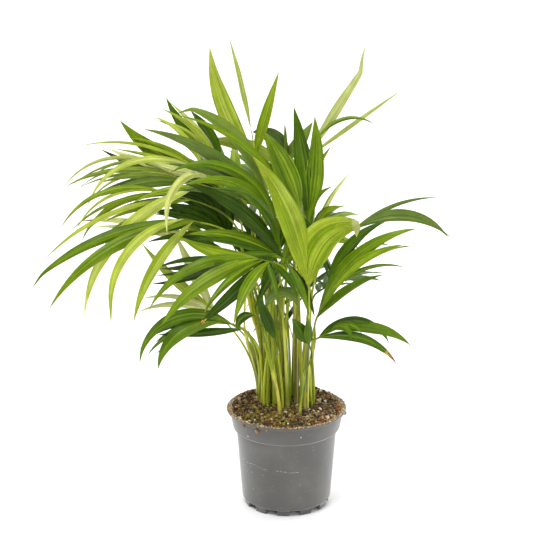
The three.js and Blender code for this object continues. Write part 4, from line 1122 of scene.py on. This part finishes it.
def scatter_crumbs(heap, shapes, faces, count, sizes, random):
    """Crumbs on the filling, outside the canes."""
    for _ in range(count):
        x, y = random_place(CRUMB_REACH, random)
        if any(math.hypot(x - c[0], y - c[1]) < c[5] + 0.6 for c in CANES):
            continue
        size = random.uniform(*sizes) * (0.8 + 0.5 * random.random() ** 3)
        scale = size * np.array([1, random.uniform(0.6, 1), random.uniform(0.5, 0.9)])
        shape = shapes[random.integers(len(shapes))] * scale @ random_turn(random).T
        spot = np.array([x, y, float(peat_height(x, y)) + size * random.uniform(-0.1, 0.55)])
        heap.add(shape + spot, [(faces, crumb_tone(x, y, random))])


def scatter_fibres(heap, count, random):
    """Thin curled root and coir fibres that lie on the peat."""
    steps = 7
    for _ in range(count):
        spot = np.array(random_place(PEAT_REACH - 2, random))
        length, turn = random.uniform(4, 13), random.random() * 2 * math.pi
        ways = turn + random.uniform(-1.6, 1.6) * np.arange(steps) / steps
        strides = np.stack([np.cos(ways), np.sin(ways)], -1) * length / steps
        flat = spot + np.concatenate([np.zeros((1, 2)), np.cumsum(strides, axis=0)])
        flat *= np.minimum(1, (PEAT_REACH - 0.5) / np.maximum(1, np.linalg.norm(flat, axis=1)))[:, None]
        lift = 0.7 + random.uniform(0, 1.2) * np.sin(np.linspace(0, math.pi, steps + 1))
        line = np.column_stack([flat, peat_height(*flat.T) + lift])
        radius = random.uniform(0.13, 0.26) * np.linspace(1, 0.5, steps + 1)
        tone = int(random.choice([STRAW, RUST, BARK, GRIT], p=[0.4, 0.3, 0.2, 0.1]))
        grow_tube(heap, line, unit(np.gradient(line, axis=0)), radius, 4, tone)


# Crumbs that stick to the collar: x, y, z, size and tone
STUCK_CRUMBS = [
    (-29.6, -48.9, 94.5, 1.9, BARK), (-42.0, -38.4, 96.0, 1.2, RUST), (58.4, -11.0, 98.6, 1.6, RUST),
    (-20, -53.2, 96.8, 0.8, STRAW), (14, -55.0, 90.5, 0.6, GRIT), (-38, -42.4, 86.5, 0.7, GRIT),
]


def rim_dust(heap, shapes, faces, count, random):
    """Brown dust and crumbs that lie on the lip, and the crumbs that stick to the collar."""
    for _ in range(count):
        a = random.random() * 2 * math.pi
        r = random.uniform(55.0, 59.4)
        size = random.uniform(0.25, 0.75) * (1.5 if random.random() < 0.08 else 1)
        turn = random_turn(random)
        spot = np.array([r * math.cos(a), r * math.sin(a), POT["rim_top"] + 0.15 * size])
        tone = int(random.choice([RUST, STRAW, BARK, DARK, GRIT], p=[0.24, 0.34, 0.15, 0.05, 0.22]))
        shape = shapes[random.integers(len(shapes))] * size * np.array([1.2, 1, 0.55]) @ turn.T
        heap.add(shape + spot, [(faces, tone)])
    for *spot, size, tone in STUCK_CRUMBS:
        shape = shapes[random.integers(len(shapes))] * size @ random_turn(random).T
        heap.add(shape + np.array(spot), [(faces, tone)])


def dress_peat():
    random = np.random.default_rng(11)
    place(peat_bed(), "peat", "peat")
    earth = [earth_material(f"peat_{i}", linear(c)) for i, c in enumerate(EARTH)]
    fine, fine_faces = crumb_shapes(1, 14, random)
    coarse, coarse_faces = crumb_shapes(2, 14, random)
    large, small, dust = Heap(), Heap(), Heap()
    scatter_crumbs(large, coarse, coarse_faces, 1500, (0.9, 1.8), random)
    scatter_crumbs(small, fine, fine_faces, 4200, (0.35, 0.8), random)
    scatter_fibres(small, 170, random)
    rim_dust(dust, coarse, coarse_faces, 900, random)
    for name, heap in (("peat_crumbs", large), ("peat_grains", small), ("rim_dust", dust)):
        place(heap.build(name, earth, sharp=70), "peat")


def softened(corners, radius, steps=4):
    """A profile with its corners rounded. Each corner is (r, z)."""
    corners = [np.array(c, float) for c in corners]
    line = [corners[0]]
    for before, corner, after in zip(corners, corners[1:], corners[2:]):
        reach = min(radius, np.linalg.norm(before - corner) * 0.45, np.linalg.norm(after - corner) * 0.45)
        a, b = corner + unit(before - corner) * reach, corner + unit(after - corner) * reach
        for k in range(steps + 1):
            t = k / steps
            line.append(a * (1 - t) ** 2 + 2 * corner * t * (1 - t) + b * t * t)
    return np.array(line + [corners[-1]])


def pot_material():
    """Grey moulded plastic: satin, faintly mottled and rubbed."""
    material, tree, shader = new_material("pot_plastic", Specular_IOR_Level=0.6, Sheen_Weight=0.4,
                                          Sheen_Roughness=0.4)
    cloud = noise(tree, 26.0, 5.0)
    rubs = noise(tree, 1.0, 6.0, (60.0, 60.0, 420.0))
    base = graded(tree, cloud, [
        (0.3, linear((70, 70, 67))), (0.55, linear((80, 79, 75))), (0.75, linear((94, 92, 86)))])
    marks = graded(tree, rubs, [(0.64, linear((0, 0, 0))), (0.80, linear((120, 120, 120)))])
    colour = covered(tree, marks, base, (176, 172, 164))
    finish(tree, shader, colour, noise(tree, 1400.0, 2.0), 0.25, 0.00015)
    tree.links.new(ranged(tree, cloud, (0.0, 1.0), (0.42, 0.58)), shader.inputs["Roughness"])
    return material


# How near the axis a turned profile starts and ends
AXIS = 0.01


def pot_profile():
    """Outline of the pot's wall and floor: up the outside, over the lip and down the inside."""
    p = POT
    foot, lip = p["underside"], p["rim_top"] - p["rim_thick"]
    inside = foot + p["floor"]
    return softened([
        (AXIS, foot), (p["body_foot"] - p["chamfer"], foot), (p["body_foot"], foot + p["chamfer"]),
        (p["body_top"], p["body_top_z"]), (p["collar_foot"], p["collar_foot_z"]), (p["collar_top"], lip - 2),
        (p["collar_top"] + 1.2, lip), (p["rim"], lip), (p["rim"], p["rim_top"]),
        (p["collar_top"] - p["wall"] + 0.4, p["rim_top"]), (p["collar_top"] - p["wall"], p["rim_top"] - 2),
        (p["collar_foot"] - p["wall"], p["collar_foot_z"] + 0.6),
        (p["body_top"] - p["wall"], p["body_top_z"] + 0.6),
        (p["body_foot"] - p["wall"] + 0.2, inside), (AXIS, inside),
    ], 0.8)


def turned_body(heap, profile, around):
    """Closed turned body from a profile that starts and ends beside the axis."""
    heap.add_rings(turned(profile, turns(around)), [[0, 0, profile[0, 1]], [0, 0, profile[-1, 1]]])


def spun(points, angle):
    """Points turned about the vertical axis."""
    c, s = math.cos(angle), math.sin(angle)
    return points @ np.array([[c, s, 0], [-s, c, 0], [0, 0, 1]])


def soft_block(heap, size, centre, turn):
    """Block with rounded edges, moved to centre and then turned about the pot's axis."""
    block = bmesh.new()
    bmesh.ops.create_cube(block, size=1)
    bmesh.ops.scale(block, vec=size, verts=block.verts)
    bmesh.ops.bevel(block, geom=block.edges[:], offset=0.5, segments=2, affect="EDGES", profile=0.5)
    bmesh.ops.triangulate(block, faces=block.faces[:])
    points, faces = mesh_arrays(block)
    heap.add(spun(points + np.array(centre), math.radians(turn)), [(faces, 0)])


def pot_scuffs(heap, shapes, faces, random):
    """A long broken scratch round the front, small marks at its left, and specks all round."""
    def fleck(angle, z, long, tall):
        radius = np.interp(z, [POT["underside"] + POT["chamfer"], POT["body_top_z"]],
                           [POT["body_foot"], POT["body_top"]])
        shape = shapes[random.integers(len(shapes))] * np.array([0.10, long, tall])
        heap.add(spun(shape + np.array([radius, 0, 0]), angle) + np.array([0, 0, z]), [(faces, 0)])

    for share in np.linspace(0, 1, 70):
        if random.random() < 0.35 or 0.42 < share < 0.55:
            continue
        z = 52.8 - 3.3 * share + 0.5 * math.sin(share * 13) + random.normal() * 0.3
        fleck(math.radians(66 * share - 142), z, random.uniform(0.2, 1.1), random.uniform(0.07, 0.17))
    for _ in range(26):
        angle = math.radians(random.random() * 22 - 156)
        fleck(angle, random.uniform(42, 56), random.uniform(0.2, 0.9), random.uniform(0.08, 0.2))
    for _ in range(90):
        angle = random.random() * 2 * math.pi
        fleck(angle, random.uniform(9, 77), random.uniform(0.12, 0.4), random.uniform(0.1, 0.3))


def dress_pot():
    heap = Heap()
    turned_body(heap, pot_profile(), 160)
    height = POT["underside"] + 1
    for i in range(POT["teeth"]):
        soft_block(heap, (POT["tooth_radial"], POT["tooth_width"], height),
                   (POT["tooth_radius"], 0, height / 2), POT["tooth_phase"] - 90 + i * 360 / POT["teeth"])
    pad = [(AXIS, 0), (POT["pad_radius"], 0), (POT["pad_radius"], height), (AXIS, height)]
    turned_body(heap, softened(pad, 0.5), 64)
    body = heap.build("pot_body", [pot_material()], sharp=40)
    bore_drains(body)
    place(body, "pot_plastic", "pot")
    random = np.random.default_rng(5)
    scuffs = Heap()
    pot_scuffs(scuffs, *crumb_shapes(1, 10, random), random)
    whitish = earth_material("scuff", linear((190, 186, 178)))
    place(scuffs.build("pot_scuffs", [whitish], sharp=80), "pot_plastic")


def bore_drains(body):
    """Cuts the drain holes through the pot's floor."""
    tools = bmesh.new()
    radius = POT["drain_radius"] * MM
    for a in turns(POT["drains"]):
        made = bmesh.ops.create_cone(tools, cap_ends=True, segments=28, radius1=radius, radius2=radius,
                                     depth=8 * MM)
        shift = Vector((POT["drain_circle"] * math.cos(a), POT["drain_circle"] * math.sin(a), 5.6)) * MM
        bmesh.ops.translate(tools, vec=shift, verts=made["verts"])
    mesh = bpy.data.meshes.new("drain_tools")
    tools.to_mesh(mesh)
    tools.free()
    cutter = linked("drain_tools", mesh)
    cut = body.modifiers.new("drains", "BOOLEAN")
    cut.object, cut.operation, cut.solver = cutter, "DIFFERENCE", "EXACT"
    cut.use_self = True
    bpy.context.view_layer.update()
    done = bpy.data.meshes.new_from_object(body.evaluated_get(bpy.context.evaluated_depsgraph_get()))
    body.modifiers.clear()
    body.data = done
    bpy.data.objects.remove(cutter)


# Half the side of the floor, in metres
FLOOR_HALF = 9.0


def add_floor():
    mesh = bpy.data.meshes.new("floor")
    corners = [(x * FLOOR_HALF, y * FLOOR_HALF, 0) for x, y in ((-1, -1), (1, -1), (1, 1), (-1, 1))]
    mesh.from_pydata(corners, [], [(0, 1, 2, 3)])
    mesh.materials.append(new_material("floor_paint", Base_Color=(0.86, 0.86, 0.86, 1.0), Roughness=0.8)[0])
    linked("floor", mesh)


WORLD_STRENGTH = 0.55

# Soft lamps: place, what they point at, size in metres and power in watts
LIGHTS = {
    "key": ((-0.7, -1.0, 2.4), (0, 0, 0.25), 0.9, 43),
    "fill": ((0.9, -1.9, 0.75), (0, 0, 0.2), 1.4, 15),
    "rim": ((0.3, 1.6, 1.9), (0, 0, 0.3), 1.4, 16),
    "side_left": ((-1.9, 1.1, 0.5), (0, 0, 0.1), 1.3, 24),
    "side_right": ((1.9, 1.1, 0.5), (0, 0, 0.1), 1.3, 40),
    "back": ((0, 3.6, 3.2), (0, 3.2, 0), 4.0, 110),
}


def add_studio():
    world = bpy.data.worlds.new("studio")
    bpy.context.scene.world = world
    world.use_nodes = True
    sky = world.node_tree.nodes["Background"]
    sky.inputs[0].default_value = (1, 1, 1, 1)
    sky.inputs[1].default_value = WORLD_STRENGTH
    for name, (spot, aim, size, power) in LIGHTS.items():
        data = bpy.data.lights.new(name, "AREA")
        data.size, data.energy = size, power
        light = linked(name, data)
        light.location = spot
        light.rotation_euler = (Vector(aim) - Vector(spot)).to_track_quat("-Z", "Y").to_euler()


def add_camera():
    data = bpy.data.cameras.new("camera")
    data.sensor_fit = "HORIZONTAL"
    data.sensor_width = 36
    data.lens = FOCAL_PIXELS / IMAGE_SIDE * data.sensor_width
    camera = linked("camera", data)
    camera.location = CAMERA_PLACE
    camera.rotation_euler = (math.radians(90 - CAMERA_DOWN), 0, 0)
    bpy.context.scene.camera = camera


dress_pot()
dress_peat()
stems = Heap()
grow_canes(stems)
place(stems.build("canes", cane_materials(), sharp=60), "cane", *[f"cane_{i + 1}" for i in range(len(CANES))])
grow_plant()
add_floor()
add_studio()
add_camera()
bpy.context.scene.view_settings.view_transform = "Standard"
